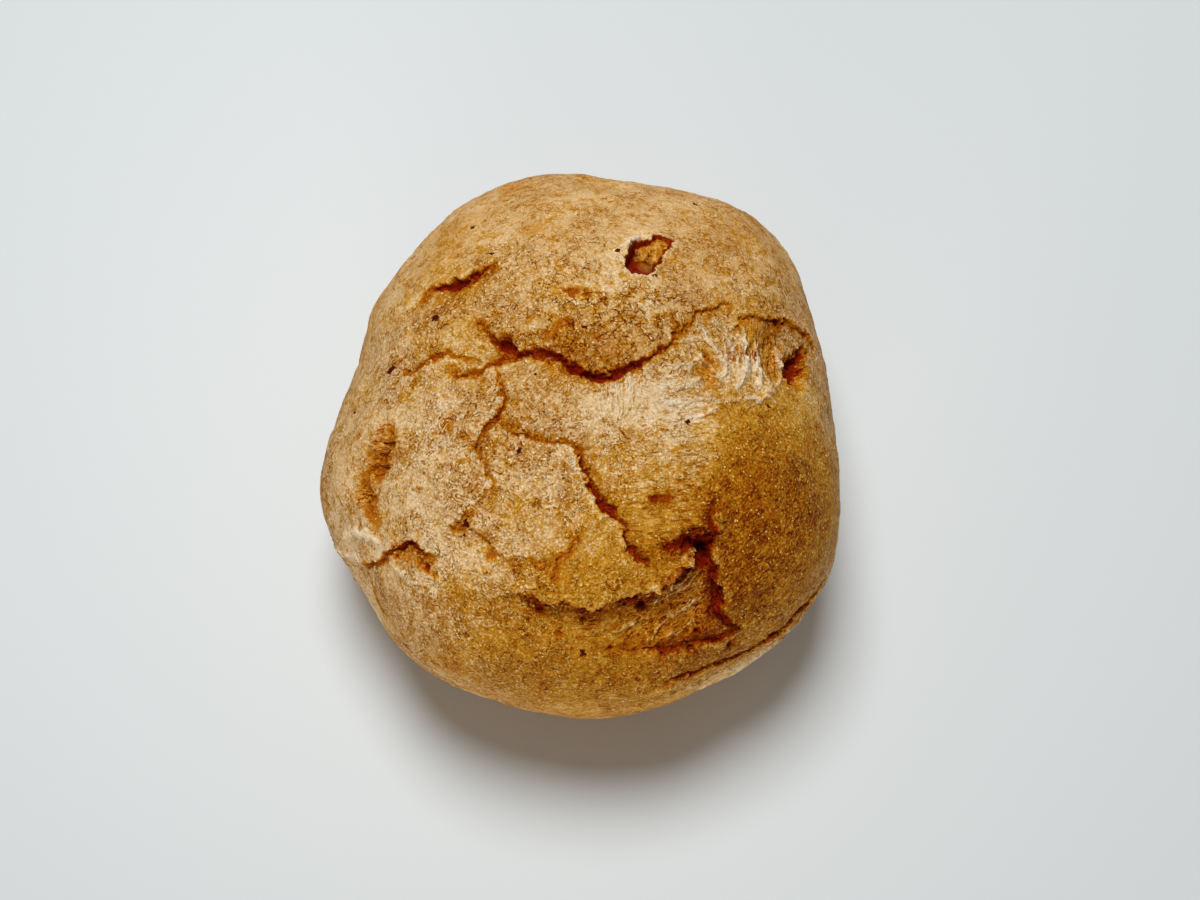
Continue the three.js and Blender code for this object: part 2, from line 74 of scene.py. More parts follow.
# Splits in the crust: name, raised side (1 right of the line, -1 left), lip height, lip reach,
# then points of azimuth, elevation, half width, depth
SPLITS = [
    ("main_split", -1, 1.3, 7, [(144.51, 55.42, 0.19, 0.22), (147.78, 58.92, 0.28, 0.52), (151.11, 61.86, 0.33, 0.75), (152.65, 65.29, 0.43, 1.05), (154.08, 67.93, 0.76, 1.65), (154.21, 70.98, 0.76, 1.35), (154.06, 74.17, 0.76, 1.12), (150.2, 77.78, 0.76, 1.2), (143.53, 81.5, 0.81, 1.42), (127.88, 85.83, 0.85, 1.72), (52.91, 87.92, 0.9, 1.95), (5.75, 84.88, 0.95, 2.1), (6.01, 81.48, 0.85, 1.88), (9.37, 77.48, 0.76, 1.58), (11.71, 73.49, 0.57, 1.35), (15.35, 69.78, 0.47, 1.12), (21.28, 66.51, 0.43, 0.98), (25.6, 62.64, 0.38, 0.83), (27.87, 60.61, 0.33, 0.6), (27.91, 58.01, 0.28, 0.45), (30.56, 53.96, 0.28, 0.6), (32.13, 50.22, 0.28, 0.52), (31.58, 47.2, 0.24, 0.45), (28.55, 45.62, 0.24, 0.38), (24.84, 45.33, 0.19, 0.22)]),
    ("upper_left_split", -1, 0.5, 4, [(153.83, 34.57, 0.14, 0.15), (152.06, 37.27, 0.21, 0.3), (149.17, 39.78, 0.29, 0.5), (144.74, 41.02, 0.34, 0.7), (141.83, 42.29, 0.63, 1.4), (139.63, 44.37, 0.98, 2.2), (137.02, 46.19, 1.09, 2.5), (134.69, 47.89, 1.15, 2.5), (131.94, 48.93, 0.81, 1.7), (128.46, 48.93, 0.46, 1), (125.37, 49.66, 0.29, 0.6), (122.32, 50.43, 0.23, 0.35), (119.36, 50.76, 0.12, 0.15)]),
    ("left_branch", 0, 0, 1, [(157.76, 71.19, 0.42, 1.35), (161.14, 69.28, 0.42, 1.2), (165.91, 67.31, 0.38, 1.05), (171.87, 65.07, 0.38, 0.9), (176.5, 63.02, 0.42, 0.9), (176.87, 58.77, 0.42, 0.9), (174.63, 55.04, 0.3, 0.52), (172.98, 52.35, 0.17, 0.15)]),
    ("left_branch_upper", -1, 0.35, 4, [(167.89, 64.43, 0.2, 0.22), (168.2, 60.31, 0.3, 0.6), (167.48, 56.21, 0.35, 0.75), (167.03, 52.02, 0.4, 0.9), (169.76, 48.94, 0.45, 1.05), (171.58, 46.11, 0.4, 0.9), (173.37, 43.12, 0.35, 0.75), (174.77, 40.6, 0.3, 0.6), (176.77, 38.8, 0.2, 0.3)]),
    ("plate_split_left", 1, 0.25, 4, [(168.2, 67.57, 0.23, 0.6), (-178.3, 68.73, 0.26, 0.84), (-167.38, 68.65, 0.26, 0.84), (-156.99, 67.75, 0.34, 0.96), (-151.65, 65.83, 0.41, 1.08), (-151.2, 62.73, 0.45, 0.96), (-148.99, 60.21, 0.3, 0.72), (-146.06, 58.48, 0.23, 0.6), (-143.72, 57.69, 0.19, 0.6), (-138.9, 56.97, 0.19, 0.6), (-133.42, 56.5, 0.23, 0.6), (-128.76, 55.27, 0.26, 0.6), (-126.99, 52.93, 0.19, 0.42), (-127.24, 51.21, 0.15, 0.42), (-128.44, 48, 0.15, 0.42), (-128.75, 45.97, 0.19, 0.6), (-128.62, 43.89, 0.34, 1.08), (-130.18, 41.29, 0.26, 0.72), (-131.36, 39.9, 0.07, 0.12)]),
    ("plate_split_diagonal", 1, 0.7, 4.5, [(-150.61, 66, 0.2, 0.3), (-139.43, 67.03, 0.22, 0.6), (-129.13, 69.41, 0.3, 0.9), (-116.01, 70.58, 0.2, 0.5), (-103.96, 71.11, 0.25, 0.6), (-91.11, 70.33, 0.35, 0.7), (-88.42, 68.54, 0.35, 0.9), (-87.12, 65.29, 0.38, 1.2), (-83.71, 62.28, 0.45, 1.6), (-82.5, 59.16, 0.6, 2), (-79.46, 55.8, 0.65, 2.1), (-76.83, 53.81, 0.55, 1.8), (-74.83, 51.25, 0.4, 1.2), (-73.55, 48.75, 0.35, 0.9), (-73.22, 46.2, 0.5, 1.2), (-72.01, 43.42, 0.55, 1.2), (-70.54, 40.72, 0.4, 0.8), (-68.76, 39.05, 0.2, 0.3)]),
    ("torn_hollow_upper", 0, 0, 1, [(-65.79, 43.82, 0.39, 0.4), (-62.1, 42.65, 0.78, 0.9), (-58.62, 41.39, 1.17, 1.6), (-55.54, 40.64, 1.69, 2.8), (-53.8, 39.12, 1.95, 3.3), (-53.03, 37.26, 1.69, 3.2), (-53.81, 35.37, 1.17, 2.4), (-54.6, 33.74, 0.65, 1.3)]),
    ("central_plate_edge", -1, 1.1, 5, [(-109.22, 33.7, 0.15, 0.15), (-104.31, 35.29, 0.3, 0.4), (-101.43, 34.28, 0.5, 0.9), (-98.05, 34.35, 0.45, 0.8), (-95.01, 35.23, 0.4, 0.8), (-92.94, 35.48, 0.4, 0.8), (-90.33, 34.51, 0.5, 1.1), (-87.07, 32.82, 0.5, 1.2), (-84.09, 33.49, 0.5, 1.2), (-80.95, 34.47, 0.55, 1.3), (-75.88, 34.09, 0.6, 1.4), (-72, 33.31, 0.6, 1.3), (-68.49, 34.29, 0.5, 1), (-64.43, 35.51, 0.45, 0.9), (-60.24, 36.93, 0.5, 1.1), (-56.97, 37.8, 0.5, 1.2)]),
    ("right_plate_edge", -1, 0.9, 6, [(-38.77, 45.07, 0.15, 0.15), (-43.23, 43.67, 0.3, 0.5), (-45.64, 42.12, 0.35, 0.7), (-47.95, 40.38, 0.45, 1), (-51.23, 38.13, 0.6, 1.8), (-52.47, 35.97, 0.7, 2.2), (-53.17, 33.28, 0.5, 1.5), (-54.38, 31.33, 0.5, 1.3), (-54.66, 28.34, 0.75, 1.7), (-56.08, 26.44, 0.5, 1.2), (-57.4, 23.88, 0.7, 1.4), (-56.55, 20.75, 0.4, 0.9), (-53.96, 17.21, 0.2, 0.3)]),
    ("lower_band", 1, 0.45, 3.5, [(-85.47, 22.93, 0.2, 0.2), (-80.62, 21.88, 0.4, 0.4), (-76.65, 21.09, 0.4, 0.5), (-73.55, 20.74, 0.5, 0.9), (-71.19, 19.65, 0.6, 1.1), (-69.32, 18.78, 0.5, 0.9), (-66.31, 19.88, 0.45, 0.8), (-62.83, 19.01, 0.55, 1), (-59.47, 17.32, 0.7, 1.2), (-56.39, 17.15, 0.6, 1), (-53.96, 17.21, 0.3, 0.4)]),
    ("base_crease", 1, 0.35, 2.5, [(-77.99, 9.57, 0.15, 0.1), (-73.83, 10.32, 0.2, 0.3), (-70.6, 10.71, 0.3, 0.9), (-67.21, 10.2, 0.35, 1.1), (-62.38, 10.3, 0.3, 0.8), (-57.24, 7.68, 0.35, 1.1), (-53.24, 6.66, 0.3, 1), (-49.07, 6.45, 0.35, 1.1), (-44.76, 5.83, 0.4, 1.3), (-41.17, 5.77, 0.4, 1.4), (-38.76, 5.27, 0.4, 1.4), (-36.08, 5, 0.3, 1), (-33.36, 4.22, 0.2, 0.6)]),
    ("left_tear", 0, 0.3, 3, [(-170.77, 41.42, 0.22, 0.1), (-168.25, 39.81, 0.66, 0.45), (-164.76, 38.53, 1.1, 0.85), (-161.76, 36.11, 0.99, 0.75), (-160.14, 33.15, 0.99, 0.75), (-160.63, 30.41, 0.66, 0.5), (-158.33, 27.7, 0.55, 0.45), (-155.01, 27.2, 0.99, 0.75), (-151.65, 26.74, 0.88, 0.6), (-148.64, 26.12, 0.55, 0.35), (-144.82, 25.38, 0.33, 0.15)]),
    ("lower_left_tear", -1, 0.5, 3, [(-146.38, 11.23, 0.3, 0.5), (-144.49, 15.08, 0.35, 0.7), (-141.53, 21.41, 0.45, 0.8), (-140.18, 24.99, 0.6, 1.1), (-139.11, 28.7, 0.75, 1.5), (-137.97, 30.93, 0.75, 1.5), (-135.88, 32.11, 0.6, 1.2), (-132.53, 32, 0.5, 1), (-130.43, 33.06, 0.3, 0.5), (-128.64, 34.82, 0.15, 0.15)]),
    ("right_crater_rim", -1, 0.35, 4, [(20.04, 47.86, 0.11, 0.18), (21.8, 45.94, 0.19, 0.36), (23.98, 43.31, 0.22, 0.48), (24.62, 39.73, 0.22, 0.54), (23.83, 36.34, 0.25, 0.6), (22.77, 34.05, 0.28, 0.66), (22.51, 30.09, 0.28, 0.66), (21.45, 25.99, 0.25, 0.6), (19.59, 22.41, 0.22, 0.54), (17.18, 20.38, 0.17, 0.36), (14.36, 19.42, 0.11, 0.18)]),
    ("right_crater_slot", 0, 0, 1, [(15.93, 24.64, 0.55, 1.1), (13.38, 26.01, 0.99, 2.2), (10.47, 27.61, 1.21, 2.64), (7.83, 30.04, 1.21, 2.42), (6.07, 28.59, 0.55, 1.32)]),
    ("cap_crack_a", 1, 0.1, 2, [(110.49, 64.9, 0.1, 0.1), (106.87, 65.2, 0.15, 0.3), (97.39, 66.6, 0.3, 0.6), (91.07, 67.24, 0.5, 0.9), (84.51, 67.54, 0.3, 0.6), (74.18, 68.01, 0.15, 0.3), (63.52, 66.84, 0.15, 0.3), (55.84, 65.25, 0.1, 0.1)]),
    ("cap_crack_b", 0, 0, 1, [(93.13, 72.93, 0.25, 0.3), (101.45, 74.72, 0.45, 0.6), (110.42, 75.96, 0.45, 0.6), (121.86, 76.64, 0.4, 0.5), (133.29, 76.94, 0.3, 0.4)]),
    ("cap_crack_c", 0, 0, 1, [(62.77, 71.65, 0.1, 0.15), (53.15, 70.19, 0.15, 0.3), (44.78, 67.97, 0.15, 0.3), (40.32, 63.78, 0.15, 0.3), (36.65, 61.49, 0.15, 0.3), (32.22, 60.68, 0.2, 0.5), (28.01, 61.16, 0.25, 0.6)]),
    ("cap_crack_d", 0, 0, 1, [(61.18, 61.93, 0.15, 0.2), (60.61, 64.38, 0.25, 0.35), (59.9, 66.6, 0.2, 0.3), (59.5, 69.49, 0.15, 0.3), (48.77, 72.79, 0.12, 0.3), (36.08, 74.16, 0.1, 0.1)]),
    ("cap_crack_e", 0, 0, 1, [(123.41, 57.46, 0.1, 0.15), (116.04, 56.65, 0.15, 0.25), (109.59, 57.54, 0.15, 0.25), (102.7, 57.32, 0.12, 0.2), (96.43, 58.34, 0.1, 0.1)]),
    ("cap_crack_f", 0, 0, 1, [(88.49, 58.87, 0.1, 0.1), (83.7, 61.54, 0.12, 0.25), (78.68, 62.41, 0.12, 0.25), (71.61, 63.93, 0.12, 0.25), (67.03, 63.72, 0.1, 0.1)]),
    ("inner_plate_split", 0, 0.2, 3, [(-85.83, 52.89, 0.1, 0.1), (-88.26, 50.61, 0.2, 0.35), (-90.38, 47.63, 0.3, 0.6), (-92.59, 45.65, 0.35, 0.7), (-95.88, 43.91, 0.4, 0.8), (-96.58, 42.3, 0.4, 0.8), (-95.79, 40.62, 0.3, 0.5), (-97.54, 38.66, 0.15, 0.15)]),
    ("left_plate_step", -1, 0.35, 3, [(-129.15, 43.62, 0.2, 0.3), (-124.6, 43.71, 0.25, 0.35), (-119.69, 42.97, 0.3, 0.4), (-115.33, 42.56, 0.3, 0.4), (-111.17, 42.16, 0.3, 0.4), (-107.46, 40.84, 0.25, 0.4), (-104.97, 38.72, 0.2, 0.3), (-104.79, 36.08, 0.15, 0.2)]),
    ("flap_crease", 0, 0, 1, [(-108.56, 42.82, 0.1, 0.1), (-104.79, 42.1, 0.25, 0.4), (-101.68, 42.02, 0.3, 0.5), (-98.5, 42.95, 0.25, 0.4), (-96.49, 43.85, 0.15, 0.2)]),
    ("small_split_right", 0, 0, 1, [(19.67, 56.33, 0.15, 0.2), (14.79, 55.05, 0.3, 0.5), (10.3, 54.05, 0.4, 0.6), (6.81, 53.19, 0.3, 0.5)]),
    ("left_flank_crack", 0, 0, 1, [(-174.93, 43.03, 0.1, 0.1), (-177.86, 43.92, 0.2, 0.3), (178.7, 44.92, 0.25, 0.4), (176.5, 47.19, 0.2, 0.3)]),
    ("left_plate_crack", 0, 0, 1, [(-149.4, 59.48, 0.3, 0.4), (-151.19, 57.22, 0.3, 0.4), (-152.55, 55.16, 0.2, 0.3), (-154.5, 53.8, 0.1, 0.1)]),
    ("base_left_slit", 0, 0, 1, [(-142.71, 11.74, 0.3, 0.5), (-140.6, 8.83, 0.35, 0.7), (-138.02, 7.98, 0.3, 0.6), (-134.5, 10.06, 0.2, 0.4), (-131.09, 11.44, 0.1, 0.2)]),
    ("back_crease", 1, 0.45, 3, [(78, 4, 0.12, 0.1), (88, 6, 0.25, 0.5), (99, 5.5, 0.35, 0.8), (110, 7, 0.3, 0.8), (121, 5, 0.35, 0.9), (131, 3, 0.3, 0.6), (140, 3.5, 0.12, 0.15)]),
    ("back_fork", 0, 0, 1, [(110, 7, 0.3, 0.7), (106, 0, 0.28, 0.6), (109, -7, 0.25, 0.55), (104, -14, 0.2, 0.4), (106, -19, 0.1, 0.1)]),
    ("back_plate_edge", 1, 0.6, 4, [(138, 1.5, 0.15, 0.2), (146, -2, 0.35, 0.8), (154, 0, 0.4, 1), (161, -3, 0.35, 0.7), (168, -2, 0.12, 0.15)]),
    ("right_flank_edge", -1, 0.5, 4, [(-22, -6, 0.12, 0.15), (-12, -8, 0.3, 0.6), (-2, -6, 0.35, 0.8), (8, -8, 0.3, 0.6), (18, -3, 0.12, 0.15)]),
    ("back_crack_low", 0, 0, 1, [(112, -9, 0.1, 0.1), (118, -7, 0.25, 0.5), (123, -9, 0.3, 0.6), (129, -8, 0.25, 0.5), (134, -10, 0.1, 0.1)]),
    ("back_crack_short", 0, 0, 1, [(64, -2, 0.1, 0.1), (67, 1, 0.25, 0.5), (66, 5, 0.25, 0.5), (69, 8, 0.12, 0.15)]),
    ("side_crease", 1, 0.35, 3, [(18, -3, 0.1, 0.1), (27, -1, 0.25, 0.5), (36, -2, 0.3, 0.7), (46, 1, 0.25, 0.6), (54, 0, 0.1, 0.1)]),
    ("front_low_crack", 0, 0, 1, [(-112, -9, 0.1, 0.1), (-105, -8, 0.25, 0.45), (-98, -9.5, 0.25, 0.5), (-92, -8.5, 0.1, 0.15)]),
    ("left_low_crease", 1, 0.3, 3, [(-172, -8, 0.1, 0.1), (-163, -6, 0.25, 0.5), (-154, -8, 0.3, 0.6), (-146, -7, 0.1, 0.1)]),
]
# Raised folds and threads: name, then points of azimuth, elevation, half width, height
RIDGES = [
    ("flap", [(-76.35, 33.02, 0.3, 0.6), (-72.84, 33.14, 0.45, 1.2), (-69.38, 34.03, 0.5, 1.7), (-65.94, 35.27, 0.5, 2), (-62.25, 36.46, 0.5, 2), (-58.68, 37.53, 0.45, 1.7), (-55.59, 38.44, 0.35, 1.1)]),
    ("strand_a", [(-70.8, 35.7, 0.2, 0.4), (-67.02, 35.36, 0.25, 0.7), (-62.6, 36.35, 0.25, 0.7), (-59.16, 37.24, 0.2, 0.4)]),
    ("strand_b", [(-68.87, 31.3, 0.2, 0.4), (-65.12, 31.76, 0.22, 0.6), (-61.44, 32.97, 0.22, 0.6), (-57.41, 34.29, 0.2, 0.4)]),
    ("crater_fold_a", [(22.1, 44, 0.3, 0.4), (17.07, 44.06, 0.45, 0.9), (11.24, 44.28, 0.5, 1.1), (5.63, 45.84, 0.5, 1), (-0.92, 48.14, 0.35, 0.6)]),
    ("crater_fold_b", [(18.61, 40.29, 0.25, 0.4), (13.42, 39.85, 0.35, 0.9), (7.78, 41.83, 0.4, 1), (0.23, 41.43, 0.3, 0.5)]),
    ("crater_fold_c", [(17.93, 33.81, 0.3, 0.4), (14.19, 32.39, 0.45, 1), (10.14, 32.6, 0.45, 1), (3.9, 35.55, 0.35, 0.6)]),
    ("crater_fold_d", [(19.37, 49.9, 0.3, 0.3), (13.08, 49.74, 0.4, 0.7), (5.97, 50.53, 0.4, 0.7), (-0.21, 52.54, 0.3, 0.4)]),
    ("crater_lump", [(6.91, 39.55, 0.7, 0.5), (3.14, 38.4, 0.8, 0.7), (-1.31, 39.83, 0.7, 0.5)]),
    ("base_fold", [(-72.25, 6.48, 0.35, 0.2), (-67.48, 5.73, 0.45, 0.4), (-62.52, 5.16, 0.5, 0.5), (-57.14, 1.89, 0.5, 0.5), (-51.13, 0.82, 0.5, 0.5), (-45.59, 0.68, 0.5, 0.5), (-40.12, 1.87, 0.45, 0.4), (-35.77, 1.79, 0.4, 0.2)]),
    ("band_strand_a", [(-76.69, 20.89, 0.24, 0.37), (-73.53, 22.68, 0.36, 0.73), (-70.54, 25.17, 0.36, 0.73), (-66.51, 27.62, 0.3, 0.37)]),
    ("band_strand_b", [(-82.35, 26.86, 0.24, 0.37), (-77.97, 26.52, 0.36, 0.61), (-73.26, 27.7, 0.36, 0.61)]),
    ("band_strand_c", [(-73.83, 21.46, 0.24, 0.37), (-69.85, 22.7, 0.34, 0.73), (-65.93, 23.5, 0.34, 0.73), (-61.99, 24.03, 0.24, 0.37)]),
    ("band_strand_d", [(-70.74, 26.16, 0.24, 0.37), (-66.36, 26.59, 0.3, 0.61), (-62.11, 27.69, 0.3, 0.61), (-58.63, 28.77, 0.24, 0.37)]),
    ("band_strand_e", [(-87.55, 26.99, 0.24, 0.24), (-84.15, 28.27, 0.3, 0.49), (-80.51, 29.75, 0.3, 0.49)]),
    ("pull_a", [(3.31, 72.21, 0.25, 0.3), (-4.18, 68.53, 0.35, 0.6), (-5.16, 64.28, 0.35, 0.7), (-0.89, 59.35, 0.3, 0.5), (4.01, 55.84, 0.25, 0.3)]),
    ("pull_b", [(-12.36, 73.43, 0.25, 0.3), (-16.07, 68.88, 0.35, 0.6), (-15.41, 64.16, 0.4, 0.7), (-10.81, 59.31, 0.35, 0.6), (-4.52, 54.71, 0.3, 0.4)]),
    ("pull_c", [(-29.15, 69.25, 0.25, 0.3), (-26.74, 65.17, 0.3, 0.5), (-23.46, 60.9, 0.35, 0.6), (-17.39, 56.67, 0.3, 0.5), (-10.77, 52.2, 0.25, 0.3)]),
    ("pull_d", [(10.23, 66.13, 0.25, 0.3), (6.28, 63.07, 0.35, 0.6), (8.69, 58.98, 0.35, 0.6), (14.07, 55.91, 0.3, 0.4)]),
    ("pull_e", [(-7.13, 56.29, 0.25, 0.3), (-7.28, 52.27, 0.35, 0.5), (-4.9, 48.26, 0.35, 0.5), (-0.64, 44.4, 0.25, 0.3)]),
    ("hang_a", [(-0.63, 83.98, 0.2, 0.3), (-23.68, 82.88, 0.25, 0.4), (-40.8, 80.45, 0.2, 0.2)]),
    ("hang_b", [(0.81, 80.99, 0.2, 0.4), (-18.4, 79.75, 0.25, 0.5), (-33.63, 77.21, 0.2, 0.2)]),
    ("hang_c", [(5.99, 77.31, 0.2, 0.4), (-7.77, 76.23, 0.25, 0.5), (-19.59, 74.23, 0.2, 0.2)]),
    ("tear_thread_a", [(-168.26, 34.79, 0.15, 0.3), (-165.64, 38.1, 0.2, 0.7), (-163.99, 41.54, 0.15, 0.3)]),
    ("tear_thread_b", [(-165.97, 33.46, 0.15, 0.3), (-163.08, 36.52, 0.2, 0.7), (-161.25, 40.55, 0.15, 0.3)]),
    ("tear_thread_c", [(-163.23, 30.97, 0.15, 0.3), (-160.61, 33.37, 0.2, 0.7), (-158.77, 37.82, 0.15, 0.3)]),
    ("tear_thread_d", [(-157.91, 24.85, 0.15, 0.3), (-155.61, 27.14, 0.2, 0.6), (-154.54, 30.38, 0.15, 0.3)]),
    ("flap_b", [(-74.08, 31.05, 0.25, 0.5), (-70.37, 31.43, 0.3, 0.9), (-66.37, 32.65, 0.3, 1), (-61.97, 34.16, 0.3, 0.9), (-58.32, 35.67, 0.25, 0.6)]),
    ("burst_flake", [(72.36, 53, 0.3, 0.4), (71.86, 50.64, 0.45, 0.8), (70.56, 48.52, 0.45, 0.8), (68.76, 46.92, 0.3, 0.4)]),
    ("pull_f", [(28.92, 54.3, 0.25, 0.3), (21.66, 54.35, 0.3, 0.7), (14.32, 52.74, 0.35, 0.8), (9.18, 50.08, 0.3, 0.5)]),
    ("pull_g", [(28.01, 51.17, 0.2, 0.3), (21.77, 49.97, 0.3, 0.7), (15.92, 47.74, 0.3, 0.7), (10.05, 45.65, 0.25, 0.4)]),
    ("pull_h", [(21.66, 58.76, 0.25, 0.3), (14.28, 56.97, 0.3, 0.6), (7.71, 54.16, 0.35, 0.8), (1.78, 50.99, 0.3, 0.5)]),
    ("pull_i", [(-2.04, 46.63, 0.25, 0.3), (-3.21, 43.44, 0.35, 0.8), (-1.31, 39.83, 0.35, 0.8), (-2.98, 37.04, 0.25, 0.4)]),
    ("left_flake", [(-153.53, 12.2, 0.5, 0.4), (-151.43, 18.52, 0.6, 0.7), (-148.01, 22.57, 0.6, 0.8), (-144.01, 24.55, 0.5, 0.5)]),
    ("lower_left_flake", [(-156.1, -0.6, 0.4, 0.4), (-150.52, 9.08, 0.5, 0.7), (-146.97, 13.87, 0.5, 0.5)]),
    ("lower_left_skin", [(-138.44, 22.89, 0.4, 0.3), (-134.93, 24.93, 0.5, 0.5), (-131.18, 25.01, 0.45, 0.4)]),
]
# Small pits: azimuth, elevation, radius, depth
PITS = [(-58.32, 52.95, 0.75, 0.8), (-54.7, 51.42, 0.9, 0.6), (-132.56, 30.24, 0.5, 0.6), (-130.72, 30.61, 0.6, 0.8), (-127.64, 30.85, 0.4, 0.4), (-116.49, 41.01, 0.7, 0.5), (-73.72, 44.95, 0.8, 1.2), (151.21, 67.74, 1, 2.2), (90.42, 67.26, 0.7, 0.6), (-73.69, 30.41, 0.8, 1.9), (-99.84, 32.52, 0.7, 0.9), (-56.91, 13.64, 0.75, 1.1), (-65.6, 18.22, 0.65, 1), (-56.08, 26.44, 0.8, 1.4), (-71.75, 18.89, 0.6, 0.9), (-82.78, 22.85, 0.5, 0.7), (-88.64, 30.39, 0.5, 0.7), (-94.51, 27.59, 0.45, 0.6), (-62.89, 21.26, 0.5, 0.8)]
# Burnt specks: azimuth, elevation, radius
SPECKS = [(120.15, 33.01, 0.5), (121.95, 45.85, 0.3), (152.16, 46.82, 0.42), (170.84, 36.23, 0.62), (-179.06, 25.56, 0.38), (177.12, 14.11, 0.25), (174.52, 78.54, 0.28), (-22.32, 59.27, 0.36), (-4.6, 39.29, 0.32), (-127.37, 64.55, 0.35), (135.2, 20.2, 0.3), (61.34, 25.8, 0.25), (83.66, 76.96, 0.35), (22.75, 33.14, 0.45), (22.51, 29.9, 0.5), (73.18, 53.9, 0.35), (54.47, 56.75, 0.3), (-33.12, 27.69, 0.35), (-128.06, 7.51, 0.4), (-128.27, 44.33, 0.35), (-127.21, 41.18, 0.3), (-89.23, 23.1, 0.5), (-55.05, 30.13, 0.4), (-168.92, 70.87, 0.15), (98, 14, 0.4), (126, 2, 0.35), (146, -6, 0.3), (74, -8, 0.35), (22, 8, 0.35), (-8, -6, 0.3)]
# Rim of the burst bubble: azimuth, elevation
BURST_RIM = [(69.5, 49.2), (67.2, 47.2), (64.5, 45.4), (61.7, 44.7), (58.3, 44.5), (57.7, 47.7), (58.3, 50.4), (57.8, 53.4), (56.9, 55.6), (57.7, 57.7), (60.9, 58.6), (65.5, 58.7), (69.4, 57.5), (70.1, 54.9), (70, 52)]
# Soft regions: azimuth, elevation, radius, amount; the last number of FIBRE and WRINKLE is the heading of the threads
TOAST = [(13.8, 36.8, 3.7, 0.45), (126.4, 29.2, 8.5, 0.38), (47.3, 21.9, 8.5, 0.34), (48.6, 66.5, 6.2, -0.12), (-85.2, 26.8, 6.2, 0.45), (-94.7, 30.8, 3.9, 0.3), (-64.5, 23.7, 5.4, 0.42), (3.5, 73.8, 6.2, -0.2), (52, 81, 4.7, 0.25), (-35.1, 36.6, 14.7, 1), (-62.5, 29.3, 11.6, 0.55), (-76.2, 23.3, 9.3, 0.35), (68.1, 82.4, 5.9, 0.35), (147.6, 42.4, 4.7, 0.15), (166.5, 67.8, 5.4, 0.25), (17.6, 29.1, 5.4, 0.3), (-107.4, 21.3, 9.3, 0.15), (-151.1, 43.7, 3.9, 0.25), (47.2, 48.8, 3.9, 0.1), (105, 10, 10, 0.3), (70, -4, 8, 0.2), (135, -8, 9, 0.2), (20, 4, 9, 0.25)]
PALE = [(-55.7, -4.5, 6.5, 1), (-46.3, 19.2, 5.4, 0.2), (-67.8, -3.5, 6.2, 0.5), (-44.6, -1.4, 4.7, 0.5), (-32, 14.8, 4.7, 0.15), (-148.5, 42.5, 7.8, 0.35), (158.4, 58.2, 6.2, 0.25), (-101, 63.9, 5.4, 0.2), (83.4, 67, 7.8, 0.15), (-150.9, 10.6, 4, 0.6), (-129.9, 28.7, 3.4, 0.5), (-140.8, -1.1, 3.1, 0.4), (-82, 8.2, 7, 0.35), (-55.9, 0.1, 6.2, 0.4), (-8.7, 60.5, 5.9, 0.5), (-14.3, 73.3, 4.7, 0.45), (13.7, 47.8, 4.3, 0.5), (-46.1, 78.1, 4.7, 0.5), (-28, 55.2, 4.7, 0.55), (-79.6, 74.3, 4.3, 0.45), (-148.7, 22.8, 3.9, 0.7), (-164.6, 23.2, 3.9, 0.4), (-124.9, 33.5, 6.2, 0.6), (-113.6, 40.6, 4.7, 0.35), (-161.7, 49.5, 4.7, 0.4), (-140.7, 37.6, 6.2, 0.4), (0.4, 47.6, 3.4, 0.6), (-106.1, 45.9, 3.9, 0.3), (75.4, 69.2, 7, 0.25), (-120.6, 55.4, 4.7, 0.2), (-2.1, 21.7, 4.7, 0.2), (-70.4, 32.5, 1.6, 0.5), (-60.6, 33.6, 1.6, 0.5), (-64.9, -3.9, 3.9, 0.3), (-51.3, -3.4, 3.9, 0.3)]
GOLD = [(20.2, 41.7, 2.3, 0.6), (10.5, 56.1, 1.6, 0.5), (17.4, 34.2, 1.6, 0.5), (126.4, 29.2, 9.3, 0.2), (47.3, 21.9, 9.3, 0.2), (-30.4, 34.9, 14.7, 1), (-8.6, 25.1, 8.5, 0.5), (-46.3, 19.2, 10.9, 0.7), (-76.2, 23.3, 10.9, 0.8), (-94.1, 15.4, 14.7, 0.55), (-87.1, 37.7, 9.3, 0.45), (-54.2, 50.9, 7.8, 0.35), (73.7, 80, 7, 0.35), (103.9, 68.8, 4.7, 0.25), (159, 49.6, 4.7, 0.2), (-81.5, 54.8, 2.2, 0.6), (-71.2, 43, 4.7, 0.5), (-16.8, 47.2, 7.8, 0.35), (14.1, 39.8, 7.8, 0.4), (140.7, 46.9, 4.7, 0.3), (151.9, 59.6, 5.4, 0.25), (-115, 54.4, 2.2, 0.35), (-122.3, 65.9, 1.6, 0.3), (-26, 21.1, 9.3, 0.4), (-64.9, -3.9, 9.3, 0.35), (-122.6, 29.8, 3.1, 0.35), (-107.8, 23.8, 9.3, 0.3), (110, -10, 14, 0.35), (60, 2, 9, 0.3), (150, 8, 7, 0.35), (90, 14, 8, 0.3), (-20, -12, 12, 0.3), (-80, -14, 14, 0.4), (170, -10, 12, 0.25)]
CALM = [(-86, 6, 8.5, 0.7), (-60.7, -4.9, 9.3, 0.7), (-41.3, -3.1, 7.8, 0.6), (-19.8, 6.9, 6.2, 0.5), (-100.2, -4.4, 9.3, 0.6), (84.8, 32.3, 17.1, 0.9), (52.4, 20.4, 14, 0.9), (125.2, 26.9, 12.4, 0.8), (-169.3, 24.2, 6.2, 0.7), (42.2, 48.8, 6.2, 0.4), (147.8, 16.5, 7.8, 0.6), (23.2, 10.3, 7.8, 0.5), (-106.9, -4.3, 9.3, 0.3), (-134.4, -2.5, 7.8, 0.5), (100, 0, 24, 0.6), (145, -2, 22, 0.6), (55, -2, 20, 0.5), (10, -5, 20, 0.5), (-170, -8, 16, 0.4), (-60, -14, 16, 0.4), (-110, -14, 16, 0.4)]
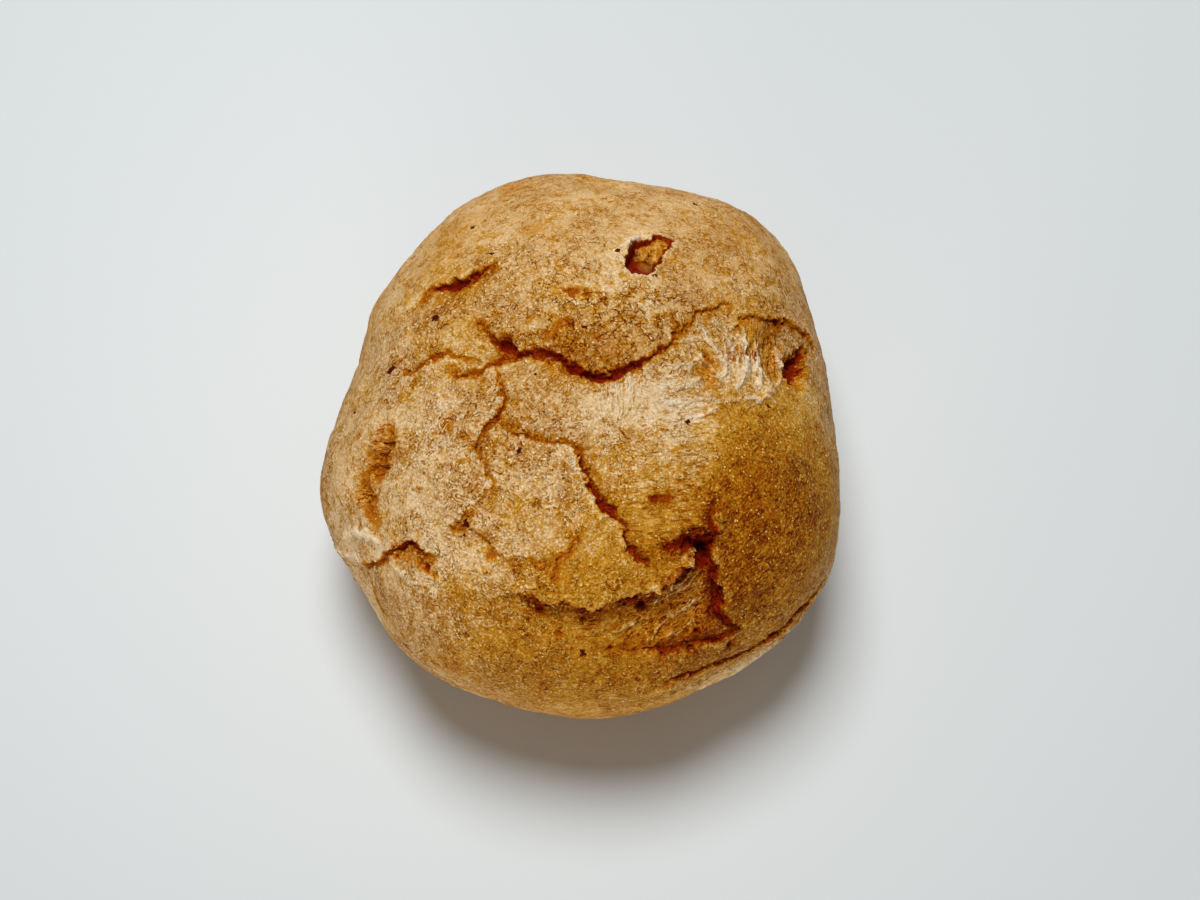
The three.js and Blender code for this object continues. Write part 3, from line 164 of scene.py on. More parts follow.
CAP = [(61.7, 73.3, 9, 1), (103.9, 68.8, 5.4, 0.6), (34, 64.7, 5.4, 0.6)]
ORANGE = [(21.6, 42.6, 1.6, 0.5), (4.9, 56.3, 1.4, 0.7), (106.5, 23.8, 2.2, 0.8), (104.2, 45.3, 1.4, 0.7), (-116.1, 11.6, 2.8, 0.7), (-122.5, 42.1, 1.6, 0.3), (-161.5, 54.4, 0.9, 0.8), (-22.4, 36.1, 6.2, 0.4), (32.5, 47.4, 2.2, 0.35), (55, 49.3, 1.9, 0.4), (35.6, 35.6, 1.2, 0.5), (47.4, 30.1, 0.9, 0.4), (172.7, 84.7, 1.6, 0.3), (-30.7, 64, 1.9, 0.4), (-65, 62, 3.9, 0.35), (-95.4, 39.8, 2.8, 0.5), (160.1, 43.8, 2.2, 0.4), (-4, 49, 2.2, 0.45), (-23.9, 56.1, 1.6, 0.4), (-165.2, 38.3, 2.3, 1), (-160.4, 33.7, 2, 1), (-155.4, 26.7, 2.2, 1), (-137.8, 28.7, 1.9, 0.8), (-149.6, 26.4, 1.4, 0.7), (4.6, 54, 1.6, 0.7), (15.5, 37.8, 1.2, 0.8), (10.9, 28.5, 1.4, 0.7), (135.4, 48.8, 1.9, 0.6), (-178, 84.8, 4.7, 0.35), (-147.3, 65.2, 1.2, 0.4), (-75.2, 68.7, 3.1, 0.2), (-76.2, 23.3, 4.7, 0.4), (-65.5, 20.3, 3.1, 0.4), (-85.1, 29.2, 3.1, 0.3)]
HOLLOWS = [(15, 36.8, 4, 1.2), (12.9, 47.6, 1.4, 0.8), (13.8, 42.6, 1.1, 0.7), (14.5, 36.1, 1.1, 0.8), (10.7, 28.2, 1.6, 1.2), (-75.5, 26.5, 3.7, 0.7), (-64.8, 26.4, 3.7, 1), (-87.4, 30.3, 2.8, 0.5), (-94.7, 31.3, 2.2, 0.35), (-165.1, 38, 1.9, 1.5), (-160.9, 33.9, 1.7, 1.3), (-155.6, 26.8, 1.7, 1.2), (-54.8, 38.6, 2, 1), (-137.9, 28.9, 1.6, 0.5), (4.1, 54, 1.4, 0.6)]
FIBRE = [(16.6, 53.5, 3.7, 1, -50), (-13.1, 62.8, 5.9, 1, -10), (-18.9, 72.9, 3.9, 0.7, 80), (-16.2, 80.7, 2.8, 0.9, 90), (-28, 55.2, 4.7, 0.8, 0), (-52.9, 55.9, 5.4, 0.8, 5), (-67.4, 50.1, 5.4, 0.8, 10), (-52.3, 45, 5.4, 0.6, -5), (14.1, 39.8, 4.7, 1, 85), (4.3, 47.3, 3.4, 1, 75), (10.9, 28.5, 3.1, 0.8, 80), (-75.3, 27.7, 5.4, 1, 25), (-63.7, 26, 4.7, 1, 40), (-89.9, 29.8, 4.7, 0.8, 10), (-69.9, 34.2, 3.4, 1, 30), (-55.9, 36.6, 3.1, 0.9, 45), (-130.4, 86.1, 5.4, 0.6, 35), (-165.4, 73.6, 4.7, 0.5, 60), (-167.2, 37.5, 2.8, 1, 5), (-159.7, 31.9, 2.2, 1, 15), (-153.9, 25.5, 2.2, 1, 20), (-142.2, 4.7, 3.9, 0.8, -35), (-137.9, 23.9, 3.1, 0.6, 60), (165.4, 62.2, 3.9, 0.6, 10), (146.3, 77.3, 3.9, 0.4, 60)]
WRINKLE = [(-86, 8.6, 7.8, 0.8, 8), (-67.4, 0.8, 7.8, 0.8, 25), (-48.9, 4.9, 7, 0.8, 40), (-102.3, 2.2, 6.2, 0.6, -5), (-39.8, 25.8, 10.9, 1, 42), (-20.6, 28.9, 7, 0.7, 60), (-53.5, 20.4, 7, 0.7, 35), (58.6, 17, 12.4, 0.25, -30), (135.3, 15.6, 9.3, 0.3, 55), (176.2, 20.5, 7, 0.3, 75), (-94, 11.8, 9.3, 0.5, 5), (-67.4, 0.8, 7, 0.5, 20), (-116.2, 20.4, 7.8, 0.4, -25), (100, -4, 16, 0.5, 0), (140, -6, 14, 0.45, 45), (60, -5, 14, 0.45, 135), (10, -8, 14, 0.5, 90), (-60, -10, 13, 0.4, 0), (-120, -12, 13, 0.4, 0), (180, -8, 14, 0.4, 90)]

# ---------------------------------------------------------------- small maths helpers
CENTRE = np.array([0.0, 0.0, EQUATOR_HEIGHT])
_rng = np.random.RandomState(20417)
_PERM = np.concatenate([_rng.permutation(256)] * 3)
_GRAD = _rng.normal(size=(256, 3))
_GRAD /= np.linalg.norm(_GRAD, axis=1, keepdims=True)
_JIT = _rng.random_sample((256, 4))


def direction(az, el):
    a, e = np.radians(az), np.radians(el)
    return np.stack([np.cos(e) * np.cos(a), np.cos(e) * np.sin(a), np.sin(e)], -1)


def smooth(a, b, x):
    t = np.clip((x - a) / (b - a), 0.0, 1.0)
    return t * t * (3 - 2 * t)


def _hash(i, j, k, seed):
    return _PERM[_PERM[_PERM[(i + seed * 17) & 255] + (j & 255)] + (k & 255)]


def noise(p, seed=0):
    """Gradient noise, about -1 to 1."""
    c = np.floor(p).astype(np.int64)
    f = p - c
    u = f * f * f * (f * (f * 6 - 15) + 10)
    total = np.zeros(len(p))
    for dx in (0, 1):
        wx = u[:, 0] if dx else 1 - u[:, 0]
        for dy in (0, 1):
            wy = u[:, 1] if dy else 1 - u[:, 1]
            for dz in (0, 1):
                wz = u[:, 2] if dz else 1 - u[:, 2]
                g = _GRAD[_hash(c[:, 0] + dx, c[:, 1] + dy, c[:, 2] + dz, seed)]
                dot = (
                    g[:, 0] * (f[:, 0] - dx)
                    + g[:, 1] * (f[:, 1] - dy)
                    + g[:, 2] * (f[:, 2] - dz)
                )
                total += wx * wy * wz * dot
    return total * 1.55


def fbm(p, seed, octaves=3, gain=0.5):
    total, amp = 0.0, 1.0
    for o in range(octaves):
        total = total + amp * noise(p * 2.03**o, seed + o)
        amp *= gain
    return total


def cells(p, seed=0):
    """Distances to the nearest and second nearest scattered point, and a number for the nearest."""
    c = np.floor(p).astype(np.int64)
    f = p - c
    near = np.full(len(p), 9.0)
    second = np.full(len(p), 9.0)
    mark = np.zeros(len(p))
    for dx in (-1, 0, 1):
        for dy in (-1, 0, 1):
            for dz in (-1, 0, 1):
                j = _JIT[_hash(c[:, 0] + dx, c[:, 1] + dy, c[:, 2] + dz, seed)]
                d = (
                    (j[:, 0] + dx - f[:, 0]) ** 2
                    + (j[:, 1] + dy - f[:, 1]) ** 2
                    + (j[:, 2] + dz - f[:, 2]) ** 2
                )
                closer = d < near
                second = np.where(closer, near, np.minimum(second, d))
                mark = np.where(closer, j[:, 3], mark)
                near = np.where(closer, d, near)
    return np.sqrt(near), np.sqrt(second), mark


# ---------------------------------------------------------------- the smooth bun
def skin_radius(d, floor=True):
    az = np.arctan2(d[:, 1], d[:, 0])
    rho = np.hypot(d[:, 0], d[:, 1])
    plan = np.full(len(d), OUTLINE[0][0])
    for k in range(1, len(OUTLINE)):
        plan = plan + OUTLINE[k][0] * np.cos(k * az) + OUTLINE[k][1] * np.sin(k * az)
    z = np.abs(d[:, 2])
    up = ((rho / plan) ** DOME_POWER + (z / DOME_HEIGHT) ** DOME_POWER) ** (-1 / DOME_POWER)
    down = ((rho / plan) ** TUCK_POWER + (z / TUCK_HEIGHT) ** TUCK_POWER) ** (-1 / TUCK_POWER)
    r = np.where(d[:, 2] >= 0, up, down)
    for a, e, spread, h in SWELLINGS:
        angle = np.degrees(np.arccos(np.clip(d @ direction(a, e), -1, 1)))
        r = r + h * np.exp(-((angle / spread) ** 2))
    if floor:
        r = np.minimum(r, np.where(d[:, 2] < -1e-6, -EQUATOR_HEIGHT / np.minimum(d[:, 2], -1e-6), 1e9))
    return r


def on_skin(az, el):
    d = np.atleast_2d(direction(np.asarray(az, float), np.asarray(el, float)))
    return CENTRE + d * skin_radius(d)[:, None]


def wrapped_box(n, m, half, spread):
    """A closed quad grid on a box n by n by m cells: unit directions, quads facing out, UVs per corner."""
    ids = lambda i, j, k: (i * (n + 1) + j) * (m + 1) + k
    quads, uvs = [], []

    def face(fn, na, nb, rect):
        a, b = np.meshgrid(np.arange(na), np.arange(nb), indexing="ij")
        a, b = a.ravel(), b.ravel()
        corners = [(a, b), (a + 1, b), (a + 1, b + 1), (a, b + 1)]
        quads.append(np.stack([ids(*fn(p, q)) for p, q in corners], -1))
        x0, y0, w, h = rect
        uvs.append(np.stack([np.stack([x0 + w * p / na, y0 + h * q / nb], -1) for p, q in corners], 1))

    z = lambda v: np.zeros_like(v)
    face(lambda a, b: (a, b, z(a) + m), n, n, (0.008, 0.392, 0.600, 0.600))
    face(lambda a, b: (b, a, z(a)), n, n, (0.624, 0.624, 0.368, 0.368))
    face(lambda a, b: (a, z(a), b), n, m, (0.008, 0.200, 0.484, 0.176))
    face(lambda a, b: (n - a, z(a) + n, b), n, m, (0.508, 0.200, 0.484, 0.176))
    face(lambda a, b: (z(a) + n, a, b), n, m, (0.008, 0.008, 0.484, 0.176))
    face(lambda a, b: (z(a), n - a, b), n, m, (0.508, 0.008, 0.484, 0.176))
    quads = np.concatenate(quads)
    uvs = np.concatenate(uvs)
    used, flat = np.unique(quads.ravel(), return_inverse=True)
    k = used % (m + 1)
    j = (used // (m + 1)) % (n + 1)
    i = used // ((m + 1) * (n + 1))
    warp = lambda t: np.tan((2 * t - 1) * spread) / math.tan(spread)
    d = np.stack([warp(i / n), warp(j / n), half * (2 * k / m - 1)], -1)
    # a box corner would bunch the grid, so the direction is eased round it
    d[:, :2] *= (1 - 0.16 * (d[:, :1] * d[:, 1:2]) ** 2)
    d /= np.linalg.norm(d, axis=1, keepdims=True)
    return d, flat.reshape(-1, 4), uvs


def halved(quads, uvs):
    """Each quad as two triangles, cut along alternate diagonals."""
    flip = (np.arange(len(quads)) % 2).astype(bool)
    pick = np.where(flip[:, None, None], [[0, 1, 2], [0, 2, 3]], [[0, 1, 3], [1, 2, 3]])
    rows = np.arange(len(quads))[:, None, None]
    return quads[rows, pick].reshape(-1, 3), uvs[rows, pick].reshape(-1, 3, 2)


def refine(d, tris, uvs, chosen):
    """Splits the chosen triangles into four, and their neighbours so that no gap opens."""
    ends = np.stack([tris, np.roll(tris, -1, 1)], -1).reshape(-1, 2)
    key = ends.min(1).astype(np.int64) * len(d) + ends.max(1)
    wanted = np.unique(key.reshape(-1, 3)[chosen].ravel())
    spot = np.searchsorted(wanted, key)
    spot = np.minimum(spot, len(wanted) - 1)
    marked = (wanted[spot] == key).reshape(-1, 3)
    middle = (spot + len(d)).reshape(-1, 3)
    low, high = wanted // len(d), wanted % len(d)
    fresh = d[low] + d[high]
    fresh /= np.linalg.norm(fresh, axis=1, keepdims=True)
    d = np.concatenate([d, fresh])
    mid_uv = (uvs + np.roll(uvs, -1, 1)) / 2
    corner = np.concatenate([tris, middle], 1)
    corner_uv = np.concatenate([uvs, mid_uv], 1)
    parts, parts_uv = [], []
    kind = marked @ [1, 2, 4]
    # corners are 0, 1, 2; 3, 4, 5 are the middles of edges 0-1, 1-2, 2-0
    one, two = [(0, 3, 2), (3, 1, 2)], [(1, 4, 3), (0, 3, 4), (0, 4, 2)]
    turn = lambda rows, k: [tuple((c + k) % 3 + (3 if c > 2 else 0) for c in r) for r in rows]
    table = {0: [(0, 1, 2)], 7: [(0, 3, 5), (3, 1, 4), (5, 4, 2), (3, 4, 5)]}
    table.update({1: one, 2: turn(one, 1), 4: turn(one, 2), 3: two, 6: turn(two, 1), 5: turn(two, 2)})
    for k, rows in table.items():
        these = np.flatnonzero(kind == k)
        for r in rows:
            parts.append(corner[these][:, r])
            parts_uv.append(corner_uv[these][:, r])
    return d, np.concatenate(parts), np.concatenate(parts_uv)


def vertex_normals(p, tris):
    a, b, c = (p[tris[:, i]] for i in range(3))
    f = np.cross(b - a, c - a)
    n = np.zeros_like(p)
    for i in range(3):
        for axis in range(3):
            n[:, axis] += np.bincount(tris[:, i], f[:, axis], len(p))
    return n / np.maximum(np.linalg.norm(n, axis=1, keepdims=True), 1e-12)


# ---------------------------------------------------------------- crust
# How browned the crust is beside a split: on its raised side, on its lower side
DEEP = {"torn_hollow_upper": 0.9, "right_crater_slot": 0.85, "right_plate_edge": 0.8}  # share of the stated depth, else SPLIT_DEPTH
SPLIT_DEPTH = 0.52
MARGINS = {
    "main_split": (0.40, 0.12),
    "upper_left_split": (0.10, 0.22),
    "central_plate_edge": (0.05, 0.42),
    "right_plate_edge": (0.06, 0.40),
    "lower_band": (0.05, 0.35),
    "plate_split_diagonal": (0.02, 0.30),
    "left_tear": (0.28, 0.28),
    "lower_left_tear": (0.05, 0.18),
    "right_crater_rim": (0.04, 0.16),
}
# Splits whose raised side rolls down over several millimetres instead of breaking off
ROLL = {"main_split": 3.2, "upper_left_split": 1.4, "left_branch_upper": 1.2}
SPLIT_WIDTH = 1.0  # share of the stated half width kept by the open part of a split
HEADINGS = (0, 45, 90, 135)
# Splits with threads of dough stretched across them
THREADED = {"left_tear", "main_split", "right_crater_slot", "torn_hollow_upper", "left_branch", "lower_left_tear"}


def blobs(points, rows):
    total = np.zeros(len(points))
    for az, el, radius, amount in rows:
        q = on_skin(az, el)[0]
        total += amount * np.exp(-(np.sum((points - q) ** 2, 1) / radius**2))
    return total


def headed(points, rows):
    """Like blobs, shared out over the four HEADINGS."""
    total = np.zeros((4, len(points)))
    for az, el, radius, amount, heading in rows:
        q = on_skin(az, el)[0]
        g = amount * np.exp(-(np.sum((points - q) ** 2, 1) / radius**2))
        for k, h in enumerate(HEADINGS):
            off = abs((heading - h + 90) % 180 - 90)
            total[k] += g * max(0.0, 1 - off / 45)
    return total


def tangential_of(v, n):
    return v - n * np.sum(v * n, 1, keepdims=True)


def wobble(p, n, scale, seed):
    return tangential_of(np.stack([noise(p / scale, seed + s) for s in (0, 5, 9)], -1), n)


def jaggedness(p, n):
    """How far each point is looked up from its own place, so that no edge runs smooth."""
    return 0.70 * wobble(p, n, 4.2, 1) + 0.70 * wobble(p, n, 1.7, 2) + 0.46 * wobble(p, n, 0.75, 3) + 0.28 * wobble(p, n, 0.38, 7)


def nearest(q, out, pts, line):
    """Distance to a line of points, the foot on it, its direction there, half width, depth and run."""
    best = np.full(len(q), 1e9)
    foot, tangent = np.zeros((len(q), 3)), np.zeros((len(q), 3))
    width, depth, run = np.zeros(len(q)), np.zeros(len(q)), np.zeros(len(q))
    seg = np.diff(pts, axis=0)
    length = np.linalg.norm(seg, axis=1)
    along = np.concatenate([[0], np.cumsum(length)])
    unit = seg / length[:, None]
    bend = np.concatenate([unit[:1], unit[:-1] + unit[1:], unit[-1:]])
    bend /= np.linalg.norm(bend, axis=1, keepdims=True)
    for i in range(len(seg)):
        t = np.clip((q - pts[i]) @ seg[i] / length[i] ** 2, 0, 1)
        f = pts[i] + t[:, None] * seg[i]
        g = np.linalg.norm(tangential_of(q - f, out), axis=1)
        closer = g < best
        best = np.where(closer, g, best)
        foot[closer] = f[closer]
        tangent[closer] = (bend[i] + t[:, None] * (bend[i + 1] - bend[i]))[closer]
        width = np.where(closer, line[i, 2] + t * (line[i + 1, 2] - line[i, 2]), width)
        depth = np.where(closer, line[i, 3] + t * (line[i + 1, 3] - line[i, 3]), depth)
        run = np.where(closer, along[i] + t * length[i], run)
    return best, foot, tangent, width, depth, run, along[-1]


def fine_places(p, n):
    """Distance in millimetres to the nearest place that needs small triangles."""
    jag = jaggedness(p, n)
    q = p + jag
    gap = np.full(len(p), 9.0)
    for name, side, lip, reach, line in SPLITS:
        line = np.array(line)
        pts = on_skin(line[:, 0], line[:, 1])
        near = np.flatnonzero(np.all((p > pts.min(0) - 4) & (p < pts.max(0) + 4), 1))
        best, _, _, width, depth, _, _ = nearest(q[near], n[near], pts, line)
        gap[near] = np.minimum(gap[near], np.abs(best - width * SPLIT_WIDTH * 1.1) - 0.25 * np.minimum(depth, 1.5))
    for name, line in RIDGES:
        line = np.array(line)
        pts = on_skin(line[:, 0], line[:, 1])
        near = np.flatnonzero(np.all((p > pts.min(0) - 4) & (p < pts.max(0) + 4), 1))
        best = nearest(p[near] + 0.6 * jag[near], n[near], pts, line)[0]
        gap[near] = np.minimum(gap[near], best - 0.5)
    for az, el, radius, deep in PITS:
        g = np.linalg.norm(p - on_skin(az, el)[0], axis=1)
        gap = np.minimum(gap, np.abs(g - radius))
    for az, el, radius in SPECKS:
        g = np.linalg.norm(p - on_skin(az, el)[0], axis=1)
        gap = np.minimum(gap, np.abs(g - radius) + 0.15)
    ring = np.array([on_skin(a, e)[0] for a, e in BURST_RIM])
    mid = ring.mean(0)
    return np.minimum(gap, np.maximum(0, np.linalg.norm(p - mid, axis=1) - 4.6))


def make_crust():
    d, quads, uvs = wrapped_box(GRID, GRID_UP, BOX_HALF, GRID_SPREAD)
    tris, uvs = halved(quads, uvs)
    for reach in FINE_REACH:
        p0 = CENTRE + d * skin_radius(d)[:, None]
        gap = fine_places(p0, vertex_normals(p0, tris))
        d, tris, uvs = refine(d, tris, uvs, gap[tris].min(1) < reach)
    p0 = CENTRE + d * skin_radius(d)[:, None]
    n0 = vertex_normals(p0, tris)
    count = len(p0)

    jag = jaggedness(p0, n0)
    warped = p0 + jag
    soft = p0 + 1.6 * wobble(p0, n0, 7.0, 4) + 0.6 * wobble(p0, n0, 2.2, 6)

    side_of_bun = smooth(0.4, 3.0, p0[:, 2])
    cut = np.zeros(count)
    lift = np.zeros(count)
    push = np.zeros((count, 3))
    crack = np.zeros(count)
    painted_glow = np.zeros(count)
    split_gap = np.full(count, 3.0)
    split_depth = np.zeros(count)
    margin = np.zeros(count)
    rim = np.zeros(count)

    for name, side, lip, reach, line in SPLITS:
        line = np.array(line)
        pts = on_skin(line[:, 0], line[:, 1])
        lo, hi = pts.min(0) - 15, pts.max(0) + 15
        near = np.flatnonzero(np.all((p0 > lo) & (p0 < hi), 1))
        q, out = warped[near], n0[near]
        best, foot, tangent, width, depth, run, whole = nearest(q, out, pts, line)
        # ends fade out
        fade = smooth(0, 1.2, run) * smooth(0, 1.2, whole - run)
        raised = np.sign(np.sum(np.cross(tangent, out) * (q - foot), 1))
        s = np.where(side == 0, best, best * raised * (side if side else 1))
        least = 0.15
        ragged = 1 + 0.50 * noise(p0[near] / 1.4, 26) + 0.36 * noise(p0[near] / 0.6, 27)
        w = np.maximum(width * SPLIT_WIDTH * ragged, least)
        shrink = np.sqrt(width * SPLIT_WIDTH / w).clip(0, 1.2)
        x = best / w
        d_here = DEEP.get(name, SPLIT_DEPTH) * depth * shrink
        trench = d_here * np.exp(-(x**2.6) * 0.75)
        if name in THREADED:
            r1 = noise(np.stack([run / 0.75, s / 5.0, np.full(len(s), 3.3)], -1), 21)
            r2 = noise(np.stack([run / 0.38, s / 3.0, np.full(len(s), 7.7)], -1), 22)
            thread = smooth(0.18, 0.55, r1 + 0.5 * r2)
            trench = trench * (1 - 0.6 * thread * smooth(0.3, 0.7, w))
        cut[near] = np.maximum(cut[near], trench)
        c = smooth(0.0, 1.5, d_here) * np.exp(-((best / (0.95 * w)) ** 2.2))
        crack[near] = np.maximum(crack[near], c)
        closer = (best - w) < split_gap[near]
        split_gap[near] = np.where(closer, best - w, split_gap[near])
        split_depth[near] = np.where(closer, d_here * (0.25 + 0.75 * fade), split_depth[near])
        # painted glow: orange laid beside each split, standing in for light shining through the thin crust
        g = np.minimum(1, d_here / 0.35) * np.exp(-((best / (1.5 * w + 0.1)) ** 2))
        painted_glow[near] = np.maximum(painted_glow[near], g)
        if side:
            roll = ROLL.get(name, 0.0)
            step = smooth(-1.1, 1.1, s / w) if not roll else 0.45 * smooth(-1.1, 1.1, s / w) + 0.55 * smooth(0.0, roll, s)
            share = np.minimum(1, 1.7 * depth / line[:, 3].max())
            fall = np.exp(-best / reach)
            lift[near] += lip * share * fall * (1.4 * step - 0.4)
            # the raised edge leans out over the split
            lean = 0.62 * w * np.minimum(1, depth / 1.2) * np.exp(-(((s / w) - 1.45) / 0.75) ** 2) * (s > 0)
            toward = foot - q
            toward = tangential_of(toward, out)
            toward /= np.maximum(np.linalg.norm(toward, axis=1, keepdims=True), 1e-6)
            push[near] += toward * lean[:, None]
            # the pale rim along a raised lip: partly a pale flaky edge, partly a painted highlight
            rim[near] = np.maximum(rim[near], np.minimum(1, depth / 0.8) * np.exp(-(((s - 1.4 * w - 0.25) / 0.55) ** 2)))
        up_side, low_side = MARGINS.get(name, (0.08, 0.10))
        amount = np.where(s > 0, up_side, low_side) if side else 0.5 * (up_side + low_side)
        m = amount * np.minimum(1, depth / 1.0) * fade * np.exp(-((best - w).clip(0) / 2.2) ** 1.2)
        margin[near] = np.maximum(margin[near], m)

    # folds and threads standing up from the dough
    fold_up = np.zeros(count)
    for name, line in RIDGES:
        line = np.array(line)
        pts = on_skin(line[:, 0], line[:, 1])
        near = np.flatnonzero(np.all((p0 > pts.min(0) - 5) & (p0 < pts.max(0) + 5), 1))
        q = p0[near] + 0.6 * jag[near]
        best, _, _, width, tall, run, _ = nearest(q, n0[near], pts, line)
        width = np.maximum(width, 0.2) * (1.05 + 0.7 * noise(q / 1.3, 36))
        shape = np.exp(-((best / np.maximum(width, 0.16)) ** 2)) * smooth(-0.9, -0.3, noise(q / 1.9, 37))
        lift[near] += 0.72 * tall * shape * (1 + 0.45 * noise(q / 0.7, 35))
        fold_up[near] = np.maximum(fold_up[near], shape * np.minimum(1, tall))
    sink = blobs(p0 + 0.9 * jag, HOLLOWS)
    lift -= sink

    # crumbly edges
    edge = np.exp(-((np.maximum(crack, rim) - 0.5) / 0.32) ** 2) * (np.maximum(crack, rim) > 0.05)
    crumble = 0.20 * noise(p0 / 0.62, 31) + 0.12 * np.abs(noise(p0 / 0.95, 32))

    for az, el, radius, deep in PITS:
        q = on_skin(az, el)[0]
        g = np.linalg.norm(p0 + 0.35 * jag - q, axis=1) / max(radius, 0.5)
        pit = deep * np.exp(-1.1 * g**3)
        cut = np.maximum(cut, pit)
        crack = np.maximum(crack, float(smooth(0.2, 2.0, deep)) * np.exp(-0.9 * g**3.0))
        closer = (g - 0.9) * max(radius, 0.5) < split_gap
        split_gap = np.where(closer, (g - 0.9) * max(radius, 0.5), split_gap)
        split_depth = np.where(closer, deep * 0.8, split_depth)
        # painted glow round each pit too
        painted_glow = np.maximum(painted_glow, np.exp(-0.7 * (g / 1.25) ** 2))

    # the burst bubble near the crown: a thin torn rim over a wider hollow
    ring = np.array([on_skin(a, e)[0] for a, e in BURST_RIM])
    mid = ring.mean(0)
    up = mid - CENTRE
    up /= np.linalg.norm(up)
    e1 = np.cross([0, 1.0, 0], up)
    e1 /= np.linalg.norm(e1)
    e2 = np.cross(up, e1)
    ring2 = np.stack([(ring - mid) @ e1, (ring - mid) @ e2], -1)
    near = np.flatnonzero(np.sum((p0 - mid) ** 2, 1) < 12**2)
    v = p0[near] + 0.30 * jag[near] - mid
    xy = np.stack([v @ e1, v @ e2], -1)
    inside = np.zeros(len(near), bool)
    gap = np.full(len(near), 1e9)
    for a, b in zip(ring2, np.roll(ring2, -1, 0)):
        ab = b - a
        t = np.clip((xy - a) @ ab / (ab @ ab), 0, 1)
        gap = np.minimum(gap, np.linalg.norm(xy - a - t[:, None] * ab, axis=1))
        crosses = (a[1] > xy[:, 1]) != (b[1] > xy[:, 1])
        with np.errstate(divide="ignore", invalid="ignore"):
            cx = a[0] + (xy[:, 1] - a[1]) * ab[0] / ab[1]
        inside ^= crosses & (xy[:, 0] < cx)
    sd = np.where(inside, gap, -gap) + 0.42 * noise(p0[near] / 0.9, 38) + 0.22 * noise(p0[near] / 0.4, 39)
    # deep on the left and towards the front, a shelf of torn dough rising to the upper right
    tilt = smooth(-0.35, 0.35, xy[:, 0] * 0.85 + xy[:, 1] * 0.5 - 0.1 + 1.1 * noise(p0[near] / 1.5, 40))
    shelf = np.clip(1.7 - 0.50 * (0.8 * xy[:, 0] + 0.6 * xy[:, 1]), 0.2, 2.0)
    bottom = 2.7 * (1 - tilt) + shelf * tilt
    lump = 0.55 * noise(p0[near] / 1.2, 41) + 0.42 * noise(p0[near] / 0.5, 42)
    hollow = (bottom + lump * (0.4 + 0.6 * tilt)) * smooth(-0.05, 0.30, sd)
    burst = np.zeros(count)
    burst[near] = smooth(-0.22, 0.05, sd)
    # painted shade: the deep left and front of the burst hole are darkened in colour where shade falls; the lit shelf
    # is not
    shade_in = np.zeros(count)
    shade_in[near] = smooth(-0.16, 0.05, sd) * (1 - 0.92 * tilt * smooth(0.35, 0.8, sd))
    cut[near] = np.maximum(cut[near], hollow)
    spreadout = smooth(0.35, 1.0, sd) * (1 - tilt) * 1.0
    radial = xy / np.maximum(np.linalg.norm(xy, axis=1, keepdims=True), 1e-6)
    push[near] += (radial[:, :1] * e1 + radial[:, 1:] * e2) * spreadout[:, None]
    rim[near] = np.maximum(rim[near], 0.7 * np.exp(-(((sd + 0.35) / 0.3) ** 2)))
    lift[near] += 0.24 * np.exp(-((sd + 0.45) / 0.4) ** 2) * (1 + noise(p0[near] / 0.8, 44))

    # soft regions, their borders broken up
    toast = blobs(soft, TOAST)
    pale = blobs(soft, PALE)
    cap = np.clip(blobs(soft, CAP), 0, 1)
    fibre4 = headed(soft, FIBRE)
    fibre4 /= np.maximum(1, fibre4.sum(0))
    wrinkle4 = headed(soft, WRINKLE)
    wrinkle4 /= np.maximum(1, wrinkle4.sum(0))
    orange = blobs(p0 + 0.5 * jag, ORANGE)

    # relief of the crust itself
    hidden = smooth(2, 20, p0[:, 1]) * smooth(34, 18, p0[:, 2])  # the far side rose in broader lumps
    relief = (0.34 + 0.5 * hidden) * noise(p0 / 11.0, 51) + (0.26 + 0.26 * hidden) * noise(p0 / 5.2, 52)
    relief += 0.13 * noise(p0 / 2.3, 53) + 0.07 * noise(p0 / 1.1, 54) + 0.035 * noise(p0 / 0.55, 55)
    # fine cracking of the crown's crust
    f1, f2, _ = cells((p0 + 0.5 * jag) / 2.7, 3)
    web = np.exp(-(((f2 - f1) / 0.075) ** 2)) * smooth(-0.1, 0.35, noise(p0 / 3.5, 57))
    craze = web * (0.9 * cap + 0.12)
    relief -= 0.26 * craze
    f1, f2, mark = cells((p0 + 0.4 * jag) / 1.05, 4)
    relief += (0.35 + cap) * 0.13 * (mark - 0.5) * smooth(0.0, 0.3, f2 - f1)
    # dough stretched into threads, and skin drawn into fine wrinkles
    for k, h in enumerate(HEADINGS):
        c, s_ = math.cos(math.radians(h)), math.sin(math.radians(h))
        turned = np.stack([p0[:, 0] * c + p0[:, 1] * s_, -p0[:, 0] * s_ + p0[:, 1] * c, p0[:, 2] * 0.8], -1)
        turned = turned + 0.30 * jag
        strands = noise(turned * np.array([0.30, 1.0, 1.0]) / 0.95, 61 + k)
        strands = 0.75 * (1 - 2.2 * np.abs(strands)) + 0.7 * noise(turned * np.array([0.35, 1.0, 1.0]) / 2.0, 66 + k)
        relief += fibre4[k] * 0.27 * strands
        relief += wrinkle4[k] * 0.10 * (1 - 2.5 * np.abs(noise(turned * np.array([0.30, 1.0, 1.0]) / 0.95, 71 + k)))
    # tiny open pores
    f1, _, mark = cells(p0 / 1.9, 5)
    pore = np.exp(-((f1 / (0.10 + 0.10 * mark)) ** 2)) * (mark > 0.62)
    relief -= 0.16 * pore

    under = smooth(2.6, 0.2, p0[:, 2])
    height = lift * side_of_bun + relief * (0.35 + 0.65 * side_of_bun) + edge * crumble - cut * side_of_bun
    top = p0 + n0 * height[:, None] + push * side_of_bun[:, None]

